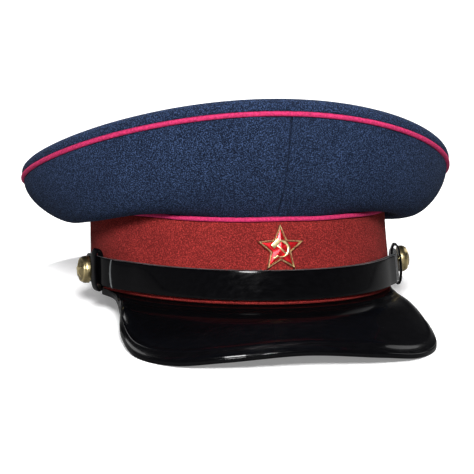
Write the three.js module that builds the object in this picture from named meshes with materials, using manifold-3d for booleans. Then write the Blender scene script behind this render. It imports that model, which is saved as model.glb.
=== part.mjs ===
// Peaked cap: a navy cloth crown over a red cloth band, two piped seams, a black patent peak,
// a patent chin strap held by two keepers and two side buttons, and an enamelled star badge.
//
// Millimetres, +Z up. The front of the cap faces -Y and its right-hand side, seen from the
// front, is +X. Each ring is an ellipse in plan, and the angle t runs round it from 0 at the
// front, through 90 degrees at +X, to 180 degrees at the back.
import * as THREE from "three";
import { mergeVertices } from "three/addons/utils/BufferGeometryUtils.js";
import Module from "manifold-3d";

const wasm = await Module();
wasm.setup();

// Clearance between any two pieces that touch on the real cap
const gap = 0.3;

// Added to it where two faceted rounds lie in each other, and the distance at which points merge
const roundSlack = 0.05;
const weld = 1e-4;

// Band: outer ellipse at its lower edge, its height, and how far its top edge lies inside that
const bandHalfWidth = 90;
const bandHalfLength = 103;
const bandHeight = { front: 45.5, side: 44.5, back: 42.5 };
const bandInset = { front: 7.5, side: 1.5, back: 1.5 };
const bandLean = -1.8;
const bandWall = 2.6;
const bandEdgeRadius = 1.3;

// Sweatband: leather ring inside the band, hanging a little below it
const sweatbandWall = 1.4;
const sweatbandHang = 3;
const sweatbandHeight = 38;

// Crown: how far its rim stands out beyond the band's top edge and how far it lies above it
const rimOverhang = { front: 26.5, side: 39.2, back: 35.5 };
const rimRise = { front: 62, side: 17.5, back: -2.5 };
const rimSideDrop = 3;
const clothWall = 2;
const collarWall = 1.7;
const rollRadius = 4.7;
const rollStart = 43;
const rollMargin = 2;
const crownSag = 1.5;

// Seams of the crown's side: half the cloth is rolled in over seamRoll, seamDip deep
const sideSeamSteps = 16;
const seamRoll = 2;
const seamDip = 0.5;

// Pipings: cords in the seam at the rim and in the seam between crown and band
const rimPipingRadius = 1.4;
const bandPipingRadius = 1.3;

// Peak: length in front of the band, drop of its lowest corner, thickness, convex rise
const peakLength = 49;
const peakDrop = 22.8;
const peakThickness = 3;
const peakRise = 3.6;

// Chin strap: two patent layers, the gap they leave to the band in front and at the buttons
const strapWidth = 16.4;
const strapAboveEdge = 3.1;
const strapThickness = 1.6;
const strapFrontClearance = 0.5;
const strapSideClearance = 4.2;
const strapLift = { from: 54, to: 71 };
const overEnd = { left: -64.5, right: 61.5 };

// Keepers: oval leather loops round the strap
const keeperAngle = 75.2;
const keeperWidth = 7;
const keeperThickness = 1.4;
const keeperHalfHeight = 12.4;
const keeperHalfDepth = 3.4;
const keeperSquareness = 2.4;

// Side buttons: domed brass on a shank through the strap
const buttonAngle = 82;
const buttonDiameter = 16;
const buttonRimHeight = 2.2;
const buttonBackEdge = 0.4;
const buttonDome = 4.2;
const buttonStarRadius = 5.2;
const buttonRelief = 0.45;
const shankDiameter = 3.4;
const shankRoot = 1;
const strapTip = 8.6;

// The left button is sewn this much lower than the strap's middle and the right one higher, and
// each stands this far off the strap on its shank
const buttonStray = 1.3;
const buttonStandOff = { left: 0, right: 2 };

// Badge: five-pointed star
const badgeRadius = 13.6;
const badgeHeight = 30.9;
const badgeBase = 0.9;
const badgeRimHeight = 2.1;
const badgeRimWidth = 1.1;
const enamelEdgeHeight = 0.9;
const enamelPeakHeight = 1.9;
const starNotch = 0.45;

// Emblem on the badge: the sickle's arc in degrees and, as shares of emblemRadius, the width of
// its blade and each bar's length, width and middle, turned by an angle in degrees
const emblemThickness = 0.9;
const emblemRadius = 4.9;
const sickleArc = { from: -125, to: 115 };
const bladeShare = 0.3;
const emblemBars = [
  { part: "sickle handle", length: 0.9, width: 0.3, turn: 45, x: -0.8, y: -0.98 },
  { part: "hammer handle", length: 2.2, width: 0.24, turn: -45, x: 0.1, y: -0.1 },
  { part: "hammer head", length: 1.1, width: 0.45, turn: 45, x: -0.56, y: 0.56 },
];

// Stations round every ring, and sides of a cord
const stations = 56;
const cordSides = { rim: 8, band: 6 };
const buttonSides = 24;
const shankSides = 12;
const domeSteps = 6;
const arcSegments = 10;

const colours = {
  navyCloth: 0x243b5c,
  redCloth: 0x8f2a25,
  piping: 0xc23a70,
  patentLeather: 0x0b0b0d,
  sweatLeather: 0x151214,
  brass: 0xc9a24a,
  redEnamel: 0xb3161c,
};

const upward = new THREE.Vector3(0, 0, 1);
const radians = THREE.MathUtils.degToRad;
const lerp = THREE.MathUtils.lerp;

// Value at angle t of a size that is named at the front, the side and the back
function round(t, size) {
  const c = Math.cos(t);
  const tilt = (size.front - size.back) / 2;
  const saddle = (size.front + size.back) / 2 - size.side;
  return size.side + tilt * c + saddle * c * c;
}

// Ellipse that lies a front, side and back distance outside another one
function grown(ring, out) {
  return {
    halfWidth: ring.halfWidth + out.side,
    halfLength: ring.halfLength + (out.front + out.back) / 2,
    x: ring.x,
    y: ring.y + (out.back - out.front) / 2,
  };
}

function onRing(ring, t, z) {
  return new THREE.Vector3(
    ring.x + ring.halfWidth * Math.sin(t),
    ring.y - ring.halfLength * Math.cos(t),
    z,
  );
}

function outwardOf(ring, t) {
  return new THREE.Vector3(Math.sin(t) / ring.halfWidth, -Math.cos(t) / ring.halfLength, 0).normalize();
}

const bandFoot = { halfWidth: bandHalfWidth, halfLength: bandHalfLength, x: 0, y: 0 };
const bandTop = grown(bandFoot, {
  front: -bandInset.front,
  side: -bandInset.side,
  back: -bandInset.back,
});
bandTop.x = bandLean;
const rim = grown(bandTop, rimOverhang);

// Point at height z on the band's outer face, moved outward by out
function bandPoint(t, z, out) {
  const share = z / round(t, bandHeight);
  const foot = onRing(bandFoot, t, z);
  const top = onRing(bandTop, t, z);
  return foot.lerp(top, share).addScaledVector(outwardOf(bandFoot, t), out);
}

// Point on the crown's rim, at the middle of its piping
function rimPoint(t) {
  const z = round(t, bandHeight) + round(t, rimRise) - rimSideDrop * Math.sin(t);
  return onRing(rim, t, z);
}

// Closed body through a row of outlines with as many points each. A ring joins its last
// outline to its first, and any other body is closed by a flat cap at each end.
function skin(outlines, isRing) {
  const count = outlines[0].length;
  const positions = outlines.flat().flatMap((p) => [p.x, p.y, p.z]);
  const triangles = [];
  const spans = isRing ? outlines.length : outlines.length - 1;
  for (let i = 0; i < spans; i += 1) {
    const here = i * count;
    const next = ((i + 1) % outlines.length) * count;
    for (let j = 0; j < count; j += 1) {
      const k = (j + 1) % count;
      triangles.push([here + j, next + j, next + k], [here + j, next + k, here + k]);
    }
  }
  if (!isRing) {
    const last = (outlines.length - 1) * count;
    for (const [a, b, c] of capTriangles(count)) {
      triangles.push([a, b, c], [last + a, last + c, last + b]);
    }
  }
  return closedGeometry(positions, triangles);
}

// Triangles across an outline whose second half runs back beside its first half
function capTriangles(count) {
  const triangles = [];
  for (let j = 0; j < count / 2 - 1; j += 1) {
    const [far, farNext] = [count - 1 - j, count - 2 - j];
    triangles.push([j, j + 1, farNext], [j, farNext, far]);
  }
  return triangles;
}

// Geometry with shared vertices, no empty triangles and its faces pointing out
function closedGeometry(positions, triangles) {
  const loose = new THREE.BufferGeometry();
  loose.setAttribute("position", new THREE.Float32BufferAttribute(positions, 3));
  loose.setIndex(triangles.flat());
  const merged = mergeVertices(loose, weld);
  const index = Array.from(merged.index.array);
  const corners = merged.attributes.position;
  const kept = [];
  let volume = 0;
  const [a, b, c] = [new THREE.Vector3(), new THREE.Vector3(), new THREE.Vector3()];
  for (let i = 0; i < index.length; i += 3) {
    const [p, q, r] = index.slice(i, i + 3);
    if (p !== q && q !== r && r !== p) {
      kept.push([p, q, r]);
      a.fromBufferAttribute(corners, p);
      b.fromBufferAttribute(corners, q);
      c.fromBufferAttribute(corners, r);
      volume += a.dot(b.cross(c));
    }
  }
  merged.setIndex(kept.map((t) => (volume > 0 ? t : [t[0], t[2], t[1]])).flat());
  merged.computeVertexNormals();
  return merged;
}

// Solid for cutting and joining, and the way back
function solidOf(geometry) {
  const bare = geometry.clone();
  bare.deleteAttribute("normal");
  bare.deleteAttribute("uv");
  const merged = mergeVertices(bare, weld);
  const mesh = new wasm.Mesh({
    numProp: 3,
    vertProperties: Float32Array.from(merged.attributes.position.array),
    triVerts: Uint32Array.from(merged.index.array),
  });
  return new wasm.Manifold(mesh);
}

function geometryOf(solid) {
  const mesh = solid.getMesh();
  const geometry = new THREE.BufferGeometry();
  geometry.setAttribute("position", new THREE.Float32BufferAttribute(mesh.vertProperties, 3));
  geometry.setIndex(Array.from(mesh.triVerts));
  geometry.computeVertexNormals();
  return geometry;
}

function piece(name, geometry, colour, roughness, metalness = 0) {
  const material = new THREE.MeshStandardMaterial({ color: colour, roughness, metalness });
  const mesh = new THREE.Mesh(geometry, material);
  mesh.name = name;
  return mesh;
}

function stationAngle(step) {
  return (step * 2 * Math.PI) / stations;
}

function roundTheCap(outlineAt) {
  return Array.from({ length: stations }, (_, step) => outlineAt(stationAngle(step)));
}

// Band of red cloth with a rounded lower edge
function makeBand() {
  const turn = bandEdgeRadius * (1 - Math.SQRT1_2);
  const outlines = roundTheCap((t) => {
    const top = round(t, bandHeight);
    return [
      [-bandWall, 0],
      [-bandEdgeRadius, 0],
      [-turn, turn],
      [0, bandEdgeRadius],
      [0, top - gap],
      [-gap, top],
      [-bandWall, top],
    ].map(([out, z]) => bandPoint(t, z, out));
  });
  return piece("band", skin(outlines, true), colours.redCloth, 0.95);
}

// Leather ring inside the band
function makeSweatband() {
  const outer = -bandWall - gap;
  const inner = outer - sweatbandWall;
  const outlines = roundTheCap((t) => [
    bandPoint(t, -sweatbandHang, inner),
    bandPoint(t, -sweatbandHang, outer),
    bandPoint(t, sweatbandHeight, outer),
    bandPoint(t, sweatbandHeight, inner),
  ]);
  return piece("sweatband", skin(outlines, true), colours.sweatLeather, 0.6);
}

// Cord of round section whose middle runs along a ring
function cordRing(middleAt, ring, radius, sides) {
  const outlines = roundTheCap((t) => {
    const middle = middleAt(t);
    const out = outwardOf(ring, t);
    return Array.from({ length: sides }, (_, side) => {
      const angle = ((side + 0.5) * 2 * Math.PI) / sides;
      return middle
        .clone()
        .addScaledVector(out, radius * Math.cos(angle))
        .addScaledVector(upward, radius * Math.sin(angle));
    });
  });
  return skin(outlines, true);
}

// The piping at the band lies on the band's top edge, standing out from it by a third
const bandPipingOut = bandPipingRadius * 0.3;
const bandPipingLift = gap + bandPipingRadius;
const rimPipingOut = rimPipingRadius * 0.3;

function makePipings() {
  const atRim = (t) => rimPoint(t).addScaledVector(outwardOf(rim, t), rimPipingOut);
  return [
    piece(
      "piping_band",
      cordRing(bandPipingPoint, bandFoot, bandPipingRadius, cordSides.band),
      colours.piping,
      0.85,
    ),
    piece(
      "piping_rim",
      cordRing(atRim, rim, rimPipingRadius, cordSides.rim),
      colours.piping,
      0.85,
    ),
  ];
}

// Side profile of the crown: the slope in degrees at which the cloth leaves the piping and
// reaches the rim, and how long each end pulls, as a share of the straight line between them.
// At the front it rises, and at the sides and back it sags over the piping and the band.
const crownProfile = {
  leaveSlope: { front: 42, side: -88, back: -76 },
  leavePull: { front: 0.34, side: 0.6, back: 0.56 },
  reachSlope: { front: 84, side: 88, back: 84 },
  reachPull: { front: 0.36, side: 0.42, back: 0.36 },
};
const profileSteps = 7;
const turnSteps = 3;
const turnStart = 140;
const turnRadius = bandPipingRadius + gap + roundSlack;
const collarOut = bandPipingOut + turnRadius * Math.cos(radians(turnStart));
const rimClearance = rimPipingRadius + gap + roundSlack;

// Middle of the piping between crown and band
function bandPipingPoint(t) {
  return bandPoint(t, round(t, bandHeight), bandPipingOut).addScaledVector(upward, bandPipingLift);
}

// Point of the cloth's turn round that piping, with share 0 at its collar and 1 at its profile
function turnPoint(t, share, depth) {
  const angle = radians(lerp(turnStart, round(t, crownProfile.leaveSlope) + 90, share));
  return bandPipingPoint(t)
    .addScaledVector(outwardOf(bandFoot, t), (turnRadius + depth) * Math.cos(angle))
    .addScaledVector(upward, (turnRadius + depth) * Math.sin(angle));
}

// Point of the crown's outer face at angle t, with share 0 at the piping and 1 at the rim
function crownPoint(t, share) {
  const start = turnPoint(t, 1, 0);
  const end = rimPoint(t).addScaledVector(upward, -rimClearance);
  const level = end.clone().sub(start).setZ(0).normalize();
  const chord = end.distanceTo(start);
  const pull = (slope, length) => {
    const angle = radians(round(t, slope));
    return level
      .clone()
      .multiplyScalar(Math.cos(angle))
      .addScaledVector(upward, Math.sin(angle))
      .multiplyScalar(chord * round(t, length));
  };
  const leave = start.clone().add(pull(crownProfile.leaveSlope, crownProfile.leavePull));
  const reach = end.clone().sub(pull(crownProfile.reachSlope, crownProfile.reachPull));
  return new THREE.CubicBezierCurve3(start, leave, reach, end).getPoint(share);
}

// Unit vector out of the crown's outer face
function crownNormal(t, share) {
  const step = 1e-3;
  const low = Math.max(share - step, 0);
  const high = Math.min(share + step, 1);
  const along = crownPoint(t + step, share).sub(crownPoint(t - step, share));
  const rise = crownPoint(t, high).sub(crownPoint(t, low));
  return along.cross(rise).normalize();
}

// Outline of the crown's cloth at angle t: a collar on the band's top edge, the turn round
// the piping, then the profile, and back along the inner face
function crownOutline(t, dip) {
  const side = (depth) => {
    const collar = bandPoint(t, round(t, bandHeight), collarOut - (depth > 0 ? collarWall : 0) - dip);
    const points = [collar.addScaledVector(upward, gap)];
    for (let i = 0; i <= turnSteps; i += 1) {
      points.push(turnPoint(t, i / turnSteps, depth + dip));
    }
    for (let i = 1; i <= profileSteps; i += 1) {
      const share = i / profileSteps;
      points.push(crownPoint(t, share).addScaledVector(crownNormal(t, share), -depth - dip));
    }
    return points;
  };
  return [...side(0), ...side(clothWall).reverse()];
}

// One quarter of the crown's side between two seams, its edges rolled in at each
function makeQuarter(name, firstStep, lastStep) {
  const halfGap = gap / 2 / bandTop.halfWidth;
  const roll = seamRoll / bandTop.halfWidth;
  const first = stationAngle(firstStep);
  const last = stationAngle(lastStep);
  const outlines = [crownOutline(first + halfGap, seamDip), crownOutline(first + roll, 0)];
  for (let step = firstStep + 1; step < lastStep; step += 1) {
    outlines.push(crownOutline(stationAngle(step), 0));
  }
  outlines.push(crownOutline(last - roll, 0), crownOutline(last - halfGap, seamDip));
  return piece(name, skin(outlines, false), colours.navyCloth, 0.95);
}

function makeQuarters() {
  const back = stations / 2;
  return [
    makeQuarter("quarter_front_right", 0, sideSeamSteps),
    makeQuarter("quarter_back_right", sideSeamSteps, back),
    makeQuarter("quarter_back_left", back, stations - sideSeamSteps),
    makeQuarter("quarter_front_left", stations - sideSeamSteps, stations),
  ];
}

// Top panel: its edge rolls out and up from the rim's piping, and it sags towards its middle
const rollSteps = 5;
const panelShares = [0.8, 0.56, 0.3, 0];

function makeTop() {
  const tilt = (size) => (size.front - size.back) / 2;
  const rise = {
    front: bandHeight.front + rimRise.front,
    side: bandHeight.side + rimRise.side,
    back: bandHeight.back + rimRise.back,
  };
  const saddle = (rise.front + rise.back) / 2 - rise.side;
  const start = radians(-rollStart) + (rimPipingRadius + gap) / rollRadius + radians(rollMargin);
  const lift = rollRadius * Math.sin(radians(rollStart)) + rollRadius;
  const middleHeight = rise.side + saddle / 2 - crownSag + lift;
  const cap = (t, depth) => {
    const out = outwardOf(rim, t);
    const centre = rimPoint(t)
      .addScaledVector(out, -rollRadius * Math.cos(radians(rollStart)))
      .addScaledVector(upward, rollRadius * Math.sin(radians(rollStart)));
    const points = [];
    for (let i = 0; i <= rollSteps; i += 1) {
      const angle = lerp(start, Math.PI / 2, i / rollSteps);
      points.push(
        centre
          .clone()
          .addScaledVector(out, (rollRadius - depth) * Math.cos(angle))
          .addScaledVector(upward, (rollRadius - depth) * Math.sin(angle)),
      );
    }
    const edge = points[rollSteps];
    const slope = tilt(rise) * Math.cos(t) - rimSideDrop * Math.sin(t);
    const bow = edge.z - (middleHeight - depth) - slope;
    for (const share of panelShares) {
      const point = new THREE.Vector3(rim.x, rim.y, 0).lerp(edge, share);
      point.z = middleHeight - depth + slope * share + bow * share * share;
      points.push(point);
    }
    return points;
  };
  const outlines = roundTheCap((t) => [...cap(t, 0), ...cap(t, clothWall).reverse()]);
  return piece("crown_top", skin(outlines, true), colours.navyCloth, 0.95);
}

// Peak, one row for each ruling from the band to the rim: the angle in degrees where it leaves
// the band, and the way to the rim's upper edge, outward and forward as shares of peakLength
// and down as a share of peakDrop
const peakRulings = [
  { at: 0, out: 0, forward: 1, down: 0.73 },
  { at: 28, out: 0.03, forward: 1.17, down: 0.87 },
  { at: 43, out: 0.16, forward: 1.25, down: 1 },
  { at: 52, out: 0.3, forward: 1.09, down: 0.94 },
  { at: 59, out: 0.25, forward: 0.76, down: 0.62 },
  { at: 64, out: 0.08, forward: 0.3, down: 0.27 },
  { at: 68, out: 0.015, forward: 0.03, down: 0.06 },
  { at: 78, out: 0.008, forward: 0.004, down: 0.03 },
];
const rulingSteps = 5;
const peakSpans = 24;

function makePeak() {
  const mirrored = peakRulings.slice(1).reverse().map((row) => ({ ...row, at: -row.at, out: -row.out }));
  const rows = [...mirrored, ...peakRulings];
  const rimCurve = new THREE.CatmullRomCurve3(
    rows.map((row) =>
      bandPoint(radians(row.at), -gap, 0).add(
        new THREE.Vector3(row.out * peakLength, -row.forward * peakLength, -row.down * peakDrop),
      ),
    ),
    false,
    "centripetal",
  );
  const angleCurve = new THREE.CatmullRomCurve3(
    rows.map((row) => new THREE.Vector3(radians(row.at), 0, 0)),
    false,
    "centripetal",
  );
  const point = (along, across) => {
    const t = angleCurve.getPoint(along).x;
    const seam = bandPoint(t, -gap, 0);
    const edge = rimCurve.getPoint(along);
    const reach = edge.distanceTo(seam) / peakLength;
    const arch = peakRise * 4 * across * (1 - across) * Math.min(reach, 1);
    return seam.lerp(edge, across).addScaledVector(upward, arch);
  };
  const count = 2 * peakSpans;
  const outlines = Array.from({ length: count + 1 }, (_, i) => {
    const along = i / count;
    const t = angleCurve.getPoint(along).x;
    const tuck = gap - bandWall;
    const shares = Array.from({ length: rulingSteps + 1 }, (_, k) => k / rulingSteps);
    const upper = shares.map((share) => point(along, share));
    const under = upper.map((top) => top.clone().addScaledVector(upward, -peakThickness));
    const tabTop = bandPoint(t, -gap, tuck);
    const tabUnder = bandPoint(t, -gap - peakThickness, tuck);
    return [tabTop, ...upper, ...under.reverse(), tabUnder];
  });
  return piece("peak", skin(outlines, false), colours.patentLeather, 0.12);
}

// How far the strap's inner face stands off the band at an angle in degrees
function strapClearance(angle) {
  const rise = THREE.MathUtils.smoothstep(Math.abs(angle), strapLift.from, strapLift.to);
  return lerp(strapFrontClearance, strapSideClearance, rise);
}

// Length along the band's lower edge from one angle to a near one
function arcLength(fromAngle, toAngle) {
  return onRing(bandFoot, radians(fromAngle), 0).distanceTo(onRing(bandFoot, radians(toAngle), 0));
}

// Outline across the strap: a flat section with eased edges
function strapOutline(angle, halfWidth, depth) {
  const t = radians(angle);
  const middle = strapAboveEdge + strapWidth / 2;
  const inner = strapClearance(angle) + depth;
  const outer = inner + strapThickness;
  const ease = Math.min(strapThickness / 3, halfWidth / 3);
  return [
    [inner, -halfWidth + ease],
    [inner, halfWidth - ease],
    [inner + ease, halfWidth],
    [outer - ease, halfWidth],
    [outer, halfWidth - ease],
    [outer, -halfWidth + ease],
    [outer - ease, -halfWidth],
    [inner + ease, -halfWidth],
  ].map(([out, z]) => bandPoint(t, middle + z, out));
}

// Angle at which the rounded tip of the strap ends, a tip's radius past the button
const degreesPerLength = 1 / arcLength(buttonAngle, buttonAngle + 1);
const strapEndAngle = buttonAngle + strapTip * degreesPerLength;
const tipShares = [0.35, 0.6, 0.78, 0.9, 0.97];
const strapStep = 4;

function makeUnderStrap() {
  const tips = tipShares.map((share) => ({
    angle: buttonAngle + (strapEndAngle - buttonAngle) * share,
    halfWidth: (strapWidth / 2) * Math.sqrt(1 - share * share),
  }));
  const rows = [];
  const spans = Math.ceil((2 * buttonAngle) / strapStep);
  for (let i = 0; i <= spans; i += 1) {
    rows.push({ angle: lerp(-buttonAngle, buttonAngle, i / spans), halfWidth: strapWidth / 2 });
  }
  rows.push(...tips);
  rows.unshift(...tips.map((tip) => ({ ...tip, angle: -tip.angle })).reverse());
  const holeRadius = shankDiameter / 2 + gap;
  let strap = solidOf(skin(rows.map((row) => strapOutline(row.angle, row.halfWidth, 0)), false));
  for (const side of [-1, 1]) {
    const hole = new THREE.CylinderGeometry(holeRadius, holeRadius, 2 * buttonSeat(side), shankSides);
    hole.rotateX(Math.PI / 2).applyMatrix4(buttonFrame(side));
    strap = strap.subtract(solidOf(hole));
  }
  return piece("strap_under", geometryOf(strap), colours.patentLeather, 0.12);
}

function makeOverStrap() {
  const spans = Math.ceil((overEnd.right - overEnd.left) / strapStep);
  const outlines = [];
  for (let i = 0; i <= spans; i += 1) {
    const angle = lerp(overEnd.left, overEnd.right, i / spans);
    outlines.push(strapOutline(angle, strapWidth / 2, strapThickness + gap));
  }
  return piece("strap_over", skin(outlines, false), colours.patentLeather, 0.12);
}

// Oval loop round the strap, its back run between strap and band
const keeperSteps = 26;

function makeKeeper(name, side) {
  const middle = strapAboveEdge + strapWidth / 2;
  const centre = strapSideClearance + strapThickness / 2;
  const halfAngle = (keeperWidth / 2) * degreesPerLength;
  const oval = (turn, inset) => {
    const shape = (value) => Math.sign(value) * Math.abs(value) ** (2 / keeperSquareness);
    return {
      out: centre + (keeperHalfDepth - inset) * shape(Math.cos(turn)),
      z: middle + (keeperHalfHeight - inset) * shape(Math.sin(turn)),
    };
  };
  const outlines = Array.from({ length: keeperSteps }, (_, i) => {
    const turn = (i * 2 * Math.PI) / keeperSteps;
    const outer = oval(turn, 0);
    const inner = oval(turn, keeperThickness);
    const corner = (point, share) => {
      const angle = side * (keeperAngle + share * halfAngle);
      return bandPoint(radians(angle), point.z, point.out);
    };
    return [corner(outer, -1), corner(outer, 1), corner(inner, 1), corner(inner, -1)];
  });
  return piece(name, skin(outlines, true), colours.patentLeather, 0.15);
}

// Distance of a side button's flat back from the band's face
function buttonSeat(side) {
  const standOff = side < 0 ? buttonStandOff.left : buttonStandOff.right;
  return strapSideClearance + strapThickness + gap + standOff;
}

// Place of that back: local Z points out of the band's face, local Y up it
function buttonFrame(side) {
  const t = radians(side * buttonAngle);
  const height = strapAboveEdge + strapWidth / 2 + side * buttonStray;
  const rise = bandPoint(t, height + 1, 0).sub(bandPoint(t, height - 1, 0)).normalize();
  const across = rise.clone().cross(outwardOf(bandFoot, t)).normalize();
  const frame = new THREE.Matrix4().makeBasis(across, rise, across.clone().cross(rise));
  return frame.setPosition(bandPoint(t, height, buttonSeat(side)));
}

// Outline of a five-pointed star with one point up
function starShape(radius) {
  const shape = new THREE.Shape();
  for (let i = 0; i < 10; i += 1) {
    const reach = i % 2 === 0 ? radius : radius * starNotch;
    const angle = Math.PI / 2 + (i * Math.PI) / 5;
    const corner = [reach * Math.cos(angle), reach * Math.sin(angle)];
    if (i === 0) {
      shape.moveTo(...corner);
    } else {
      shape.lineTo(...corner);
    }
  }
  shape.closePath();
  return shape;
}

function plate(shape, depth) {
  return new THREE.ExtrudeGeometry(shape, { depth, bevelEnabled: false, curveSegments: arcSegments });
}

// Domed disc of revolution about Z, its flat back at z = 0
function domedDisc(radius, rimHeight, dome) {
  const profile = [new THREE.Vector2(0, 0), new THREE.Vector2(radius - buttonBackEdge, 0)];
  profile.push(new THREE.Vector2(radius, buttonBackEdge), new THREE.Vector2(radius, rimHeight));
  for (let i = 1; i <= domeSteps; i += 1) {
    const angle = (i / domeSteps) * (Math.PI / 2);
    profile.push(new THREE.Vector2(
      i === domeSteps ? 0 : radius * Math.cos(angle),
      rimHeight + dome * Math.sin(angle),
    ));
  }
  return new THREE.LatheGeometry(profile, buttonSides).rotateX(Math.PI / 2);
}

function makeButton(name, side) {
  const body = solidOf(domedDisc(buttonDiameter / 2, buttonRimHeight, buttonDome));
  const raised = solidOf(
    domedDisc(buttonDiameter / 2 + buttonRelief, buttonRimHeight, buttonDome + buttonRelief),
  );
  const star = solidOf(plate(starShape(buttonStarRadius), buttonRimHeight + buttonDome * 2));
  const shankLength = buttonSeat(side) - gap + shankRoot;
  const shank = new THREE.CylinderGeometry(shankDiameter / 2, shankDiameter / 2, shankLength, shankSides);
  shank.rotateX(Math.PI / 2).translate(0, 0, shankRoot - shankLength / 2);
  const button = body.add(star.intersect(raised)).add(solidOf(shank));
  const mesh = piece(name, geometryOf(button), colours.brass, 0.25, 1);
  buttonFrame(side).decompose(mesh.position, mesh.quaternion, mesh.scale);
  return mesh;
}

// Star badge, lying on the sloping front of the band: tray with a raised rim, faceted enamel
function makeBadge() {
  const slope = Math.atan2(bandInset.front, bandHeight.front);
  const badge = new THREE.Group();
  badge.position.copy(bandPoint(0, badgeHeight, 0));
  badge.rotation.x = Math.PI / 2 - slope;

  const inset = badgeRimWidth / Math.sin(Math.PI / 10 + Math.asin(starNotch * Math.sin(Math.PI / 5)));
  const pocketRadius = badgeRadius - inset;
  const tray = solidOf(plate(starShape(badgeRadius), badgeRimHeight));
  const pocket = solidOf(plate(starShape(pocketRadius), badgeRimHeight).translate(0, 0, badgeBase));
  const metal = piece("badge_star", geometryOf(tray.subtract(pocket)), colours.brass, 0.25, 1);
  metal.position.z = gap;

  const enamel = piece("badge_enamel", facetedStar(pocketRadius - 3 * gap), colours.redEnamel, 0.1);
  enamel.position.z = gap + badgeBase + gap;

  const emblem = piece("badge_emblem", emblemGeometry(), colours.brass, 0.25, 1);
  emblem.position.z = enamel.position.z + enamelPeakHeight + gap;
  badge.add(metal, enamel, emblem);
  return badge;
}

// Star whose face rises to its middle in ten facets, with ridges running to the points
function facetedStar(radius) {
  const positions = [0, 0, 0, 0, 0, enamelPeakHeight];
  for (let i = 0; i < 10; i += 1) {
    const reach = i % 2 === 0 ? radius : radius * starNotch;
    const angle = Math.PI / 2 + (i * Math.PI) / 5;
    const [x, y] = [reach * Math.cos(angle), reach * Math.sin(angle)];
    positions.push(x, y, 0, x, y, enamelEdgeHeight);
  }
  const triangles = [];
  for (let i = 0; i < 10; i += 1) {
    const [low, high] = [2 + 2 * i, 3 + 2 * i];
    const [nextLow, nextHigh] = [2 + 2 * ((i + 1) % 10), 3 + 2 * ((i + 1) % 10)];
    triangles.push([0, nextLow, low], [1, high, nextHigh]);
    triangles.push([low, nextLow, nextHigh], [low, nextHigh, high]);
  }
  return closedGeometry(positions, triangles);
}

// Crossed hammer and sickle: the sickle opens to the left, the hammer's head is upper left
function emblemGeometry() {
  const bladeWidth = emblemRadius * bladeShare;
  const blade = new THREE.Shape();
  const [from, to] = [radians(sickleArc.from), radians(sickleArc.to)];
  blade.absarc(0, 0, emblemRadius, from, to, false);
  blade.absarc(-bladeWidth / 2, 0, emblemRadius - bladeWidth / 2, to, from, true);
  let solid = solidOf(plate(blade, emblemThickness));
  for (const bar of emblemBars) {
    const box = new THREE.BoxGeometry(
      bar.length * emblemRadius,
      bar.width * emblemRadius,
      emblemThickness,
    )
      .translate(0, 0, emblemThickness / 2)
      .rotateZ(radians(bar.turn))
      .translate(bar.x * emblemRadius, bar.y * emblemRadius, 0);
    solid = solid.add(solidOf(box));
  }
  return geometryOf(solid);
}

const cap = new THREE.Group();
cap.add(
  makeTop(),
  ...makeQuarters(),
  ...makePipings(),
  makeBand(),
  makeSweatband(),
  makePeak(),
  makeUnderStrap(),
  makeOverStrap(),
  makeKeeper("keeper_left", -1),
  makeKeeper("keeper_right", 1),
  makeButton("button_left", -1),
  makeButton("button_right", 1),
  makeBadge(),
);

// Every corner of the cap, in the frame of the group that holds it
function cornersOf(group) {
  group.updateMatrixWorld(true);
  const corners = [];
  group.traverse((node) => {
    if (node.isMesh) {
      const position = node.geometry.attributes.position;
      for (let i = 0; i < position.count; i += 1) {
        corners.push(new THREE.Vector3().fromBufferAttribute(position, i).applyMatrix4(node.matrixWorld));
      }
    }
  });
  return corners;
}

// The cap lies on its peak and on the back of its sweatband: the lean at which the lowest
// points in front of and behind the middle are level, found by halving
const leanLimit = 40;
const halvings = 50;

function restingLean(corners) {
  let [low, high] = [radians(-leanLimit), radians(leanLimit)];
  for (let i = 0; i < halvings; i += 1) {
    const lean = (low + high) / 2;
    const heights = corners.map((p) => p.y * Math.sin(lean) + p.z * Math.cos(lean));
    const front = Math.min(...heights.filter((_, k) => corners[k].y < 0));
    const back = Math.min(...heights.filter((_, k) => corners[k].y >= 0));
    if (front < back) {
      high = lean;
    } else {
      low = lean;
    }
  }
  return (low + high) / 2;
}

cap.rotation.x = restingLean(cornersOf(cap));

// Origin below the middle of the cap, on the surface that it lies on
const box = new THREE.Box3().setFromPoints(cornersOf(cap));
cap.position.set(-(box.min.x + box.max.x) / 2, -(box.min.y + box.max.y) / 2, -box.min.z);

const root = new THREE.Group();
root.add(cap);

export default root;
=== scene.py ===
"""Peaked cap: cloth crown and band, piped seams, patent peak and chin strap, metal fittings.

Everything is in metres. The cap's own frame has its front at -Y, its right-hand side at +X and
the band's lower edge at z = 0. The angle t runs round it from 0 at the front through 90 degrees
at +X. Pieces are worked out there and then leant and moved to where the cap lies on its peak.
"""

import bmesh
import bpy
import numpy as np
from bpy.props import FloatProperty, FloatVectorProperty, PointerProperty
from mathutils import Matrix


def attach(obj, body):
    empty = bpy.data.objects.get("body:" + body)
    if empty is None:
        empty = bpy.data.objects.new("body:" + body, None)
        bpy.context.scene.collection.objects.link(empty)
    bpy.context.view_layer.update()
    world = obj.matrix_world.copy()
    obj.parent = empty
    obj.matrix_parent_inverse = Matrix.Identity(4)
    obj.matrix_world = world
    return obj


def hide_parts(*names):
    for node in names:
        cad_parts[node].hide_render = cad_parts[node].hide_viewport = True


bl_info = {
    "name": "Peaked cap",
    "version": (1, 0, 0),
    "blender": (4, 5, 0),
    "location": "3D View > Sidebar > Peaked cap",
    "description": "Makes a peaked cloth cap round its CAD frame, piece by piece",
    "category": "Add Mesh",
}

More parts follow.
